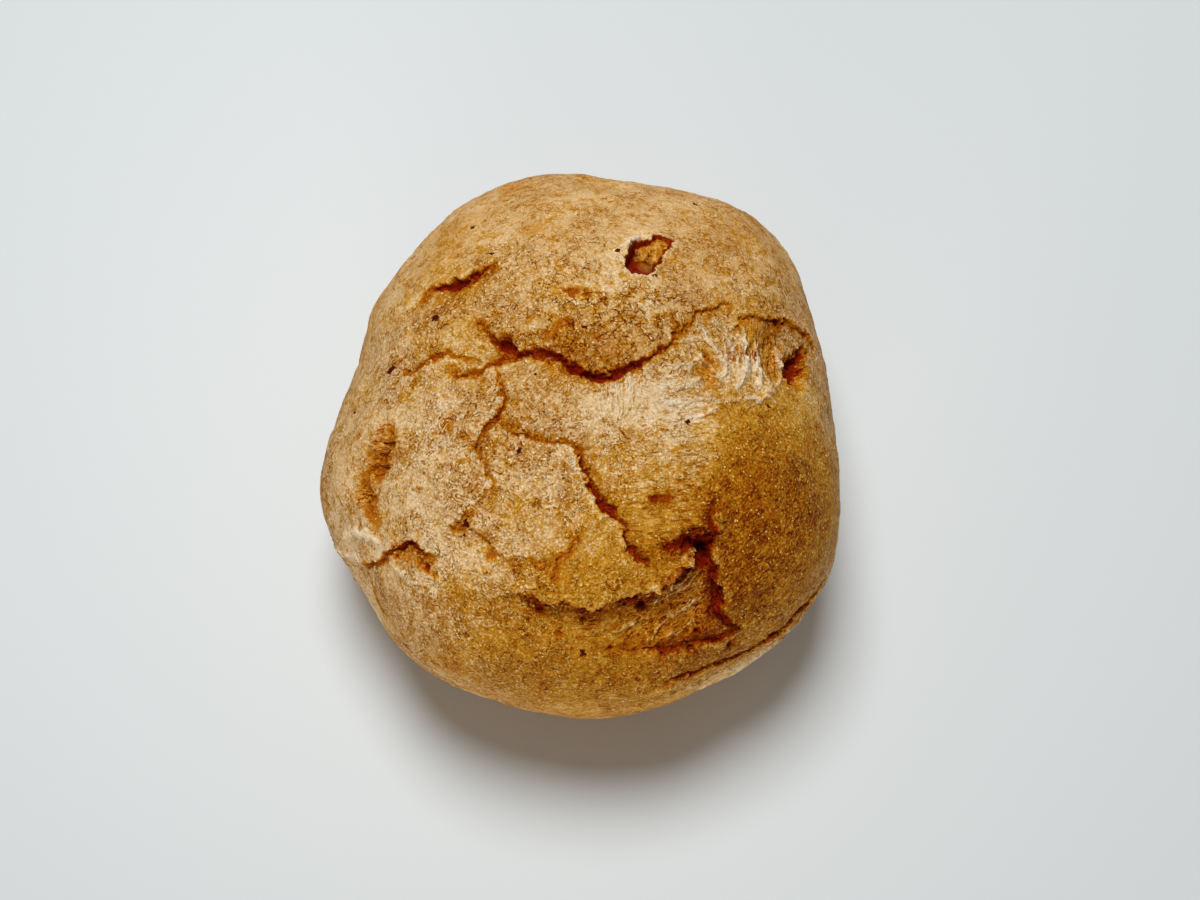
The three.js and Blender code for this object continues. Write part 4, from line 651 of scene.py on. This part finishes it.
    # the base: flat where it touches, with shallow blisters and dimples let into it
    on_floor = (p0[:, 2] < 0.02) & (n0[:, 2] < -0.9)
    r_xy = np.hypot(p0[:, 0], p0[:, 1])
    blister = np.clip(0.45 * noise(p0 / 6.0, 71) + 0.2 * noise(p0 / 2.0, 72) + 0.08 * noise(p0 / 0.8, 73) - 0.05, 0, None)
    top[on_floor] = p0[on_floor]
    top[on_floor, 2] = blister[on_floor]
    top[:, 2] = np.maximum(top[:, 2], 0)

    gold = blobs(soft, GOLD)
    calm = np.clip(blobs(soft, CALM), 0, 1)
    tone = 0.362 + 0.23 * toast - 0.14 * pale + 0.7 * margin - 0.36 * fold_up
    tone += (0.06 + 0.08 * hidden) * noise(p0 / 9.0, 81) + 0.05 * noise(p0 / 3.4, 82)
    # raised lips and the burst rim come out paler, here and in gold below: partly pale flaky edge, partly painted
    # highlight
    tone -= 0.16 * rim
    tone += burst * (0.45 * noise(p0 / 0.9, 91) + 0.35 * noise(p0 / 0.4, 92))
    tone += 0.20 * craze
    tone += 0.28 * under + 0.10 * smooth(10, 2, p0[:, 2])
    # the painted glow beside splits and pits pushes the colour towards gold
    gold = 0.16 + gold - 0.35 * pale + 0.8 * margin + 0.6 * orange + 0.5 * painted_glow - 1.1 * fold_up - 0.4 * rim + burst + 0.4 * under
    gold += 0.16 * noise(p0 / 8.0, 84)

    speck = np.full(count, 2.0)
    for az, el, radius in SPECKS:
        g = np.linalg.norm(p0 + 0.55 * jag - on_skin(az, el)[0], axis=1)
        speck = np.minimum(speck, g - 1.05 * radius)

    fields = {
        "tone": tone,
        "crack": crack * (1 - burst),
        "burst": burst,
        # the painted glow also adds orange beside splits and pits
        "orange": orange + 0.5 * margin + burst * 1.1 + 0.40 * painted_glow + 0.40 * np.clip(sink, 0, 1) - 0.8 * fold_up,
        "gold": gold,
        "calm": calm,
        "threads_0": fibre4[0],
        "threads_45": fibre4[1],
        "threads_90": fibre4[2],
        "threads_135": fibre4[3],
        "folds_0": wrinkle4[0],
        "folds_45": wrinkle4[1],
        "folds_90": wrinkle4[2],
        "folds_135": wrinkle4[3],
        "cap": cap,
        "torn": np.clip(sink, 0, 1.3),
        "painted_hole_shade": shade_in,
        "speck_gap": speck,
        "split_gap": split_gap,
        "split_depth": split_depth,
        "under": under,
    }
    return top, tris, uvs, fields


points, tris, uvs, fields = make_crust()
print("crust:", len(points), "points,", len(tris), "triangles")
shift = -(points.max(0) + points.min(0)) / 2
points[:, :2] += shift[:2]

mesh = bpy.data.meshes.new("cream_puff_crust")
mesh.vertices.add(len(points))
mesh.vertices.foreach_set("co", (points / 1000).astype(np.float32).ravel())
mesh.loops.add(len(tris) * 3)
mesh.loops.foreach_set("vertex_index", tris.astype(np.int32).ravel())
mesh.polygons.add(len(tris))
mesh.polygons.foreach_set("loop_start", np.arange(0, len(tris) * 3, 3, dtype=np.int32))
mesh.polygons.foreach_set("use_smooth", np.ones(len(tris), bool))
mesh.update(calc_edges=True)
layer = mesh.uv_layers.new(name="OFBake")
layer.data.foreach_set("uv", uvs.reshape(-1).astype(np.float32))
for key, values in fields.items():
    mesh.attributes.new(key, "FLOAT", "POINT").data.foreach_set("value", values.astype(np.float32))
mesh.update()
puff = bpy.data.objects.new("cream_puff_crust", mesh)
bpy.context.scene.collection.objects.link(puff)


# ---------------------------------------------------------------- baked crust material
def srgb(r, g, b):
    return tuple(((v / 255 + 0.055) / 1.055) ** 2.4 if v > 10.3 else v / 255 / 12.92 for v in (r, g, b)) + (1.0,)


class Nodes:
    """Short names for building a node tree."""

    def __init__(self, material):
        material.use_nodes = True
        self.tree = material.node_tree
        self.tree.nodes.clear()

    def add(self, kind, **settings):
        node = self.tree.nodes.new(kind)
        for k, v in settings.items():
            setattr(node, k, v)
        return node

    def put(self, socket, value):
        if isinstance(value, bpy.types.NodeSocket):
            self.tree.links.new(value, socket)
        else:
            socket.default_value = value

    def field(self, name):
        return self.add("ShaderNodeAttribute", attribute_name=name).outputs["Fac"]

    def maths(self, operation, *values, clamp=False):
        node = self.add("ShaderNodeMath", operation=operation, use_clamp=clamp)
        for socket, value in zip(node.inputs, values):
            self.put(socket, value)
        return node.outputs[0]

    def total(self, *terms):
        """Sum of (factor, socket) pairs; a bare number is a constant."""
        sofar = 0.0
        for term in terms:
            if isinstance(term, tuple):
                sofar = self.maths("MULTIPLY_ADD", term[1], term[0], sofar)
            else:
                sofar = self.maths("ADD", sofar, term) if not isinstance(sofar, float) else sofar + term
        return sofar

    def spread(self, value, low, high, to_low=0.0, to_high=1.0):
        node = self.add("ShaderNodeMapRange", interpolation_type="SMOOTHSTEP")
        for socket, v in zip(node.inputs, (value, low, high, to_low, to_high)):
            self.put(socket, v)
        return node.outputs[0]

    def place(self, coordinates, scale, turn=0.0, shift=(0, 0, 0)):
        node = self.add("ShaderNodeMapping")
        node.inputs["Scale"].default_value = scale
        node.inputs["Rotation"].default_value = (0, 0, turn)
        node.inputs["Location"].default_value = shift
        self.put(node.inputs["Vector"], coordinates)
        return node.outputs[0]

    def grain(self, coordinates, per_mm, detail=2.0, rough=0.55, distort=0.0):
        node = self.add("ShaderNodeTexNoise", noise_dimensions="3D")
        node.inputs["Scale"].default_value = per_mm
        node.inputs["Detail"].default_value = detail
        node.inputs["Roughness"].default_value = rough
        node.inputs["Distortion"].default_value = distort
        self.put(node.inputs["Vector"], coordinates)
        return node.outputs["Fac"]

    def dots(self, coordinates, per_mm, feature="F1"):
        node = self.add("ShaderNodeTexVoronoi", feature=feature)
        node.inputs["Scale"].default_value = per_mm
        self.put(node.inputs["Vector"], coordinates)
        return node.outputs["Distance"]


crust = bpy.data.materials.new("baked_choux_crust")
n = Nodes(crust)
mm = n.place(n.add("ShaderNodeTexCoord").outputs["Object"], (1000, 1000, 1000))

sand = n.grain(mm, 2.6, 2.0, 0.66)  # grains about 0.35 mm
crumb = n.grain(mm, 1.25, 3.0, 0.62, 0.5)
blotch = n.grain(mm, 0.34, 3.0, 0.60, 0.9)
cloud = n.grain(mm, 0.11, 2.0, 0.5)


def bend(scale, amount):
    wave = n.add("ShaderNodeTexNoise", noise_dimensions="3D")
    wave.inputs["Scale"].default_value = scale
    wave.inputs["Detail"].default_value = 2.0
    n.put(wave.inputs["Vector"], mm)
    node = n.add("ShaderNodeVectorMath", operation="MULTIPLY_ADD")
    n.put(node.inputs[0], wave.outputs["Color"])
    node.inputs[1].default_value = (amount,) * 3
    n.put(node.inputs[2], mm)
    return node.outputs[0]


bent = bend(0.9, 1.3)
ruffled = bend(2.6, 0.42)
mosaic = n.add("ShaderNodeTexVoronoi")
mosaic.inputs["Scale"].default_value = 2.3
n.put(mosaic.inputs["Vector"], ruffled)
pebble = mosaic.outputs["Distance"]
split_colour = n.add("ShaderNodeSeparateColor")
n.put(split_colour.inputs[0], mosaic.outputs["Color"])
lot = split_colour.outputs[0]  # a number for each grain
lot2 = split_colour.outputs[1]
hole_at = n.dots(bent, 1.35)  # pinholes
craze_at = n.dots(bent, 0.62, "DISTANCE_TO_EDGE")  # hairline cracks
flake = n.grain(mm, 0.42, 2.6, 0.60, 1.3)  # the outer skin lies in thin torn leaves
leaf = n.grain(mm, 0.90, 2.2, 0.55, 1.2)
freckle_at = n.grain(mm, 0.62, 1.5, 0.5, 0.4)
scratch = n.grain(mm, 1.9, 2.0, 0.5, 0.8)

tone, crack, gold = n.field("tone"), n.field("crack"), n.field("gold")
orange, under = n.field("orange"), n.field("under")
cap, calm = n.field("cap"), n.field("calm")
busy = n.maths("MULTIPLY_ADD", calm, -0.55, 1.0)  # how strong the fine grain is

strings, folds = [], []
for heading in HEADINGS:
    turned = n.place(mm, (1, 1, 1), math.radians(-heading))
    drawn = n.place(turned, (0.22, 1.0, 0.8))
    thread = n.grain(drawn, 2.1, 2.5, 0.62, 0.5)
    # sharp bright ridges between dark gaps
    ridge = n.spread(n.maths("ABSOLUTE", n.maths("SUBTRACT", thread, 0.5)), 0.0, 0.16, 1.0, -0.6)
    both = n.total((0.55, ridge), (1.6, n.maths("SUBTRACT", thread, 0.5)), -0.05)
    strings.append(n.maths("MULTIPLY", both, n.field("threads_%d" % heading)))
    wave_line = n.place(turned, (0.30, 1.0, 1.0))
    crease_line = n.grain(wave_line, 1.25, 1.5, 0.5, 0.6)
    gap_line = n.spread(n.maths("ABSOLUTE", n.maths("SUBTRACT", crease_line, 0.5)), 0.0, 0.075, 1.0, 0.0)
    folds.append(n.maths("MULTIPLY", gap_line, n.field("folds_%d" % heading)))
string = n.total(*((1.0, v) for v in strings))
fold = n.total(*((1.0, v) for v in folds))
fibre = n.total(*((1.0, n.field("threads_%d" % h)) for h in HEADINGS))
dry = n.maths("MULTIPLY", busy, n.maths("MULTIPLY_ADD", fibre, -0.45, 1.0))

sand_c = n.maths("SUBTRACT", sand, 0.5)
crumb_c = n.maths("SUBTRACT", crumb, 0.5)
blotch_c = n.maths("SUBTRACT", blotch, 0.5)
cloud_c = n.maths("SUBTRACT", cloud, 0.5)
lot_c = n.maths("SUBTRACT", lot, 0.5)

joint = n.spread(pebble, 0.34, 0.62)  # darker joints between grains
# painted glints: small bright specks on some grains stand in for highlights
painted_glint = n.spread(lot2, 0.86, 0.94)
painted_glint = n.maths("MULTIPLY", painted_glint, n.spread(pebble, 0.42, 0.18))
some = n.spread(crumb, 0.42, 0.58)
pinhole = n.maths("MULTIPLY", n.spread(hole_at, 0.20, 0.12), some)
hairline = n.maths("MULTIPLY", n.spread(craze_at, 0.060, 0.018), n.spread(blotch, 0.44, 0.56))
hairline = n.maths("MULTIPLY", hairline, n.maths("MULTIPLY_ADD", cap, 0.75, 0.35))
off = n.maths("ABSOLUTE", n.maths("SUBTRACT", scratch, 0.5))
scribble = n.maths("MULTIPLY", n.spread(off, 0.022, 0.006), n.spread(crumb, 0.50, 0.58))


def leaves(value, steps, mask):
    """Torn leaves of skin: a dark line along each edge, a pale rim inside it, and the height of the leaf."""
    at = n.maths("FRACT", n.maths("MULTIPLY", value, steps))
    dark = n.maths("MULTIPLY", n.spread(at, 0.15, 0.03), mask)
    rim = n.maths("MULTIPLY", n.maths("MULTIPLY", n.spread(at, 0.12, 0.20), n.spread(at, 0.50, 0.22)), mask)
    return dark, rim, n.maths("MULTIPLY", at, mask)


mask_a = n.spread(n.total((1.0, cloud), (0.6, blotch)), 0.72, 0.84)
mask_b = n.spread(n.total((1.0, blotch), (0.4, crumb)), 0.68, 0.76)
dark_a, rim_a, step_a = leaves(flake, 4.5, mask_a)
dark_b, rim_b, step_b = leaves(leaf, 3.0, mask_b)
line_work = n.maths("MULTIPLY", n.maths("MAXIMUM", n.maths("MAXIMUM", dark_a, dark_b), scribble), n.maths("MULTIPLY", busy, n.maths("MULTIPLY_ADD", fibre, -0.8, 1.0)))
wisp = n.maths("MULTIPLY", n.maths("MAXIMUM", rim_a, rim_b), busy)
freckle = n.spread(freckle_at, 0.58, 0.66)
speck = n.spread(n.total((1.0, n.field("speck_gap")), (0.9, sand_c)), 0.05, -0.05)
edge_at = n.total((1.0, n.field("split_gap")), (0.9, sand_c), (1.1, crumb_c))
torn_at = n.field("torn")
deepness = n.spread(n.field("split_depth"), 0.06, 0.75)
shallow = n.spread(n.field("split_depth"), 0.05, 0.35)
# the open line of each split, coloured partly as painted shade and partly as the crust's own colour there
line = n.maths("MULTIPLY", n.spread(edge_at, 0.04, -0.10), deepness)
# gaps between the strands of torn dough, painted dark below as shade
between = n.maths("MULTIPLY", n.spread(n.total((1.0, string), (-0.6, crumb_c)), 0.02, -0.16), torn_at)
halo = n.maths("MULTIPLY", n.spread(edge_at, 0.70, 0.0), shallow)

grainy = n.maths("MULTIPLY", dry, n.maths("MULTIPLY_ADD", n.spread(gold, 0.3, 1.1), 0.55, 1.0))
shade = n.total(
    (1.0, tone),
    (-0.56, n.maths("MULTIPLY", sand_c, grainy)),
    (0.15, n.maths("MULTIPLY", lot_c, grainy)),
    (0.08, n.maths("MULTIPLY", joint, grainy)),
    # painted glints lighten the grain here
    (-0.54, n.maths("MULTIPLY", painted_glint, grainy)),
    (-0.18, n.maths("MULTIPLY", crumb_c, dry)),
    (0.40, n.maths("MULTIPLY", blotch_c, n.maths("MULTIPLY_ADD", calm, -0.5, 1.0))),
    (0.42, cloud_c),
    -0.03,
    (-0.34, n.maths("MULTIPLY", string, n.maths("MULTIPLY_ADD", torn_at, 1.4, 1.0))),
    (0.22, fold),
    (0.24, n.maths("MULTIPLY", pinhole, dry)),
    (0.42, hairline),
    (0.42, line_work),
    (-0.22, wisp),
    (0.12, halo),
    (0.06, freckle),
)
amber = n.total(
    (1.0, gold),
    (2.0, n.maths("MULTIPLY", blotch_c, n.maths("MULTIPLY_ADD", calm, -0.5, 1.0))),
    (-1.0, n.maths("MULTIPLY", sand_c, dry)),
    (0.4, n.maths("MULTIPLY", joint, dry)),
    (0.50, freckle),
    (-0.45, string),
    (-0.35, wisp),
    (0.75, halo),
    (0.6, pinhole),
    (0.7, line_work),
    (0.7, hairline),
)
amber = n.spread(amber, 0.0, 1.0)


def ramp_of(value, stops):
    ramp = n.add("ShaderNodeValToRGB")
    ramp.color_ramp.interpolation = "LINEAR"
    elements = ramp.color_ramp.elements
    while len(elements) < len(stops):
        elements.new(0.5)
    for e, (at, colour) in zip(elements, stops):
        e.position, e.color = at, srgb(*colour)
    n.put(ramp.inputs[0], value)
    return ramp.outputs[0]


def mix(fac, a, b, blend="MIX"):
    node = n.add("ShaderNodeMix", data_type="RGBA", blend_type=blend)
    n.put(node.inputs[0], fac)
    n.put(node.inputs[6], a)
    n.put(node.inputs[7], b)
    return node.outputs[2]


# dry skin, glassy golden dough and torn dough, each from light to dark
dry_skin = ramp_of(
    shade,
    [(0.0, (255, 232, 196)), (0.22, (244, 206, 154)), (0.44, (217, 170, 106)), (0.66, (190, 124, 53)), (0.86, (156, 72, 14)), (1.0, (124, 34, 2))],
)
golden = ramp_of(
    shade,
    [(0.0, (253, 214, 134)), (0.22, (230, 174, 74)), (0.44, (203, 138, 27)), (0.66, (174, 99, 6)), (0.86, (140, 58, 0)), (1.0, (108, 28, 0))],
)
colour = mix(amber, dry_skin, golden)
torn = ramp_of(
    n.total((1.0, shade), (1.2, sand_c), 0.04),
    [(0.0, (246, 186, 84)), (0.3, (224, 150, 34)), (0.55, (200, 112, 6)), (0.8, (160, 68, 0)), (1.0, (112, 30, 0))],
)
warm = n.spread(n.total((1.0, orange), (0.60, halo), (0.7, torn_at), (0.9, blotch_c), (0.9, sand_c), (-0.5, string)), 0.20, 0.95)
colour = mix(n.maths("MULTIPLY", warm, 0.70), colour, torn)
# inside the splits: partly the crust's own red-brown, partly painted shade, darkest at the core of the deeper splits
split_core_shade = n.maths("MULTIPLY", n.spread(edge_at, -0.02, -0.16), n.spread(n.field("split_depth"), 0.12, 0.6))
colour = mix(n.maths("MULTIPLY", line, 0.96), colour, mix(split_core_shade, srgb(184, 88, 4), srgb(146, 30, 0)))
# painted shade: the deepest parts of splits and pits and the gaps between strands are painted dark red
deep = n.maths("MAXIMUM", n.spread(crack, 0.70, 1.0), n.maths("MULTIPLY", between, 0.75))
colour = mix(n.maths("MULTIPLY", deep, 0.93), colour, srgb(122, 24, 0))
# painted shade in the deep part of the burst hole: dark red
colour = mix(n.field("painted_hole_shade"), colour, mix(n.spread(crumb, 0.4, 0.62), srgb(116, 14, 0), srgb(154, 38, 0)))
colour = mix(speck, colour, srgb(88, 18, 8))

# relief finer than the mesh, in millimetres
fine = n.total(
    (0.11, n.maths("MULTIPLY", sand_c, dry)),
    (0.12, n.maths("MULTIPLY", crumb_c, busy)),
    (0.10, n.maths("MULTIPLY", step_a, busy)),
    (0.09, n.maths("MULTIPLY", step_b, busy)),
    (-0.06, n.maths("MULTIPLY", joint, dry)),
    (-0.05, n.maths("MULTIPLY", lot_c, dry)),
    (0.11, n.maths("MULTIPLY", string, n.maths("MULTIPLY_ADD", torn_at, 0.8, 1.0))),
    (-0.08, fold),
    (-0.05, pinhole),
    (-0.06, hairline),
    (-0.04, line_work),
    (0.05, wisp),
)
bump = n.add("ShaderNodeBump")
bump.inputs["Strength"].default_value = 1.0
bump.inputs["Distance"].default_value = 0.001
n.put(bump.inputs["Height"], fine)

shader = n.add("ShaderNodeBsdfPrincipled")
n.put(shader.inputs["Base Color"], colour)
n.put(shader.inputs["Roughness"], n.total(0.58, (0.3, sand_c), (-0.10, crack), (-0.12, warm), (-0.12, fibre)))
shader.inputs["Specular IOR Level"].default_value = 0.07
shader.inputs["Specular Tint"].default_value = (1.0, 0.86, 0.62, 1.0)
n.put(shader.inputs["Normal"], bump.outputs[0])
out = n.add("ShaderNodeOutputMaterial")
n.put(out.inputs[0], shader.outputs[0])
mesh.materials.append(crust)

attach(puff, "root")
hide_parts("cream_puff")

# ---------------------------------------------------------------- floor, light, camera
floor_mesh = bpy.data.meshes.new("floor")
floor_mesh.from_pydata([(-3, -3, 0), (3, -3, 0), (3, 3, 0), (-3, 3, 0)], [], [(0, 1, 2, 3)])
floor = bpy.data.objects.new("floor", floor_mesh)
floor.location.z = -0.0001
bpy.context.scene.collection.objects.link(floor)
pale_floor = bpy.data.materials.new("pale_floor")
pale_floor.use_nodes = True
b = pale_floor.node_tree.nodes["Principled BSDF"]
b.inputs["Base Color"].default_value = (0.72, 0.755, 0.768, 1)
b.inputs["Roughness"].default_value = 0.42
b.inputs["Specular IOR Level"].default_value = 0.35
floor_mesh.materials.append(pale_floor)


def area_light(name, az, el, distance, size, power, colour=(1, 1, 1)):
    data = bpy.data.lights.new(name, "AREA")
    data.shape = "DISK"
    data.size, data.energy, data.color = size, power, colour
    lamp = bpy.data.objects.new(name, data)
    way = direction(az, el)
    lamp.matrix_world = Matrix.Translation(way * distance) @ (
        Matrix([[*v, 0] for v in np.eye(3)] + [[0, 0, 0, 1]])
    )
    lamp.rotation_mode = "QUATERNION"
    from mathutils import Vector

    lamp.rotation_quaternion = (-Vector(way)).to_track_quat("-Z", "Y")
    bpy.context.scene.collection.objects.link(lamp)
    return lamp


area_light("window", 104, 71, 1.2, 0.55, 11.2, (0.975, 0.995, 1.0))
area_light("room", -100, 5, 1.3, 0.8, 8.4, (1.0, 0.93, 0.84))

world = bpy.data.worlds.new("room")
world.use_nodes = True
world.node_tree.nodes["Background"].inputs[0].default_value = (1.0, 0.95, 0.88, 1)
world.node_tree.nodes["Background"].inputs[1].default_value = 0.15
bpy.context.scene.world = world
bpy.context.scene.view_settings.view_transform = "Standard"
bpy.context.scene.view_settings.look = "None"

TILT = math.radians(18.5)  # how far the camera leans from straight above, towards the front
LOOK_AT = np.array([2.964, -1.951, 24.0])
FAR = 372.0
back = np.array([0, -math.sin(TILT), math.cos(TILT)])
camera_data = bpy.data.cameras.new("camera")
camera_data.sensor_width = 36
camera_data.lens = 72
camera_data.clip_start, camera_data.clip_end = 0.01, 20
camera = bpy.data.objects.new("camera", camera_data)
eye = (LOOK_AT + FAR * back) / 1000
right, upward = (1, 0, 0), (0, math.cos(TILT), math.sin(TILT))
camera.matrix_world = Matrix(
    [
        [right[0], upward[0], back[0], eye[0]],
        [right[1], upward[1], back[1], eye[1]],
        [right[2], upward[2], back[2], eye[2]],
        [0, 0, 0, 1],
    ]
)
bpy.context.scene.collection.objects.link(camera)
bpy.context.scene.camera = camera
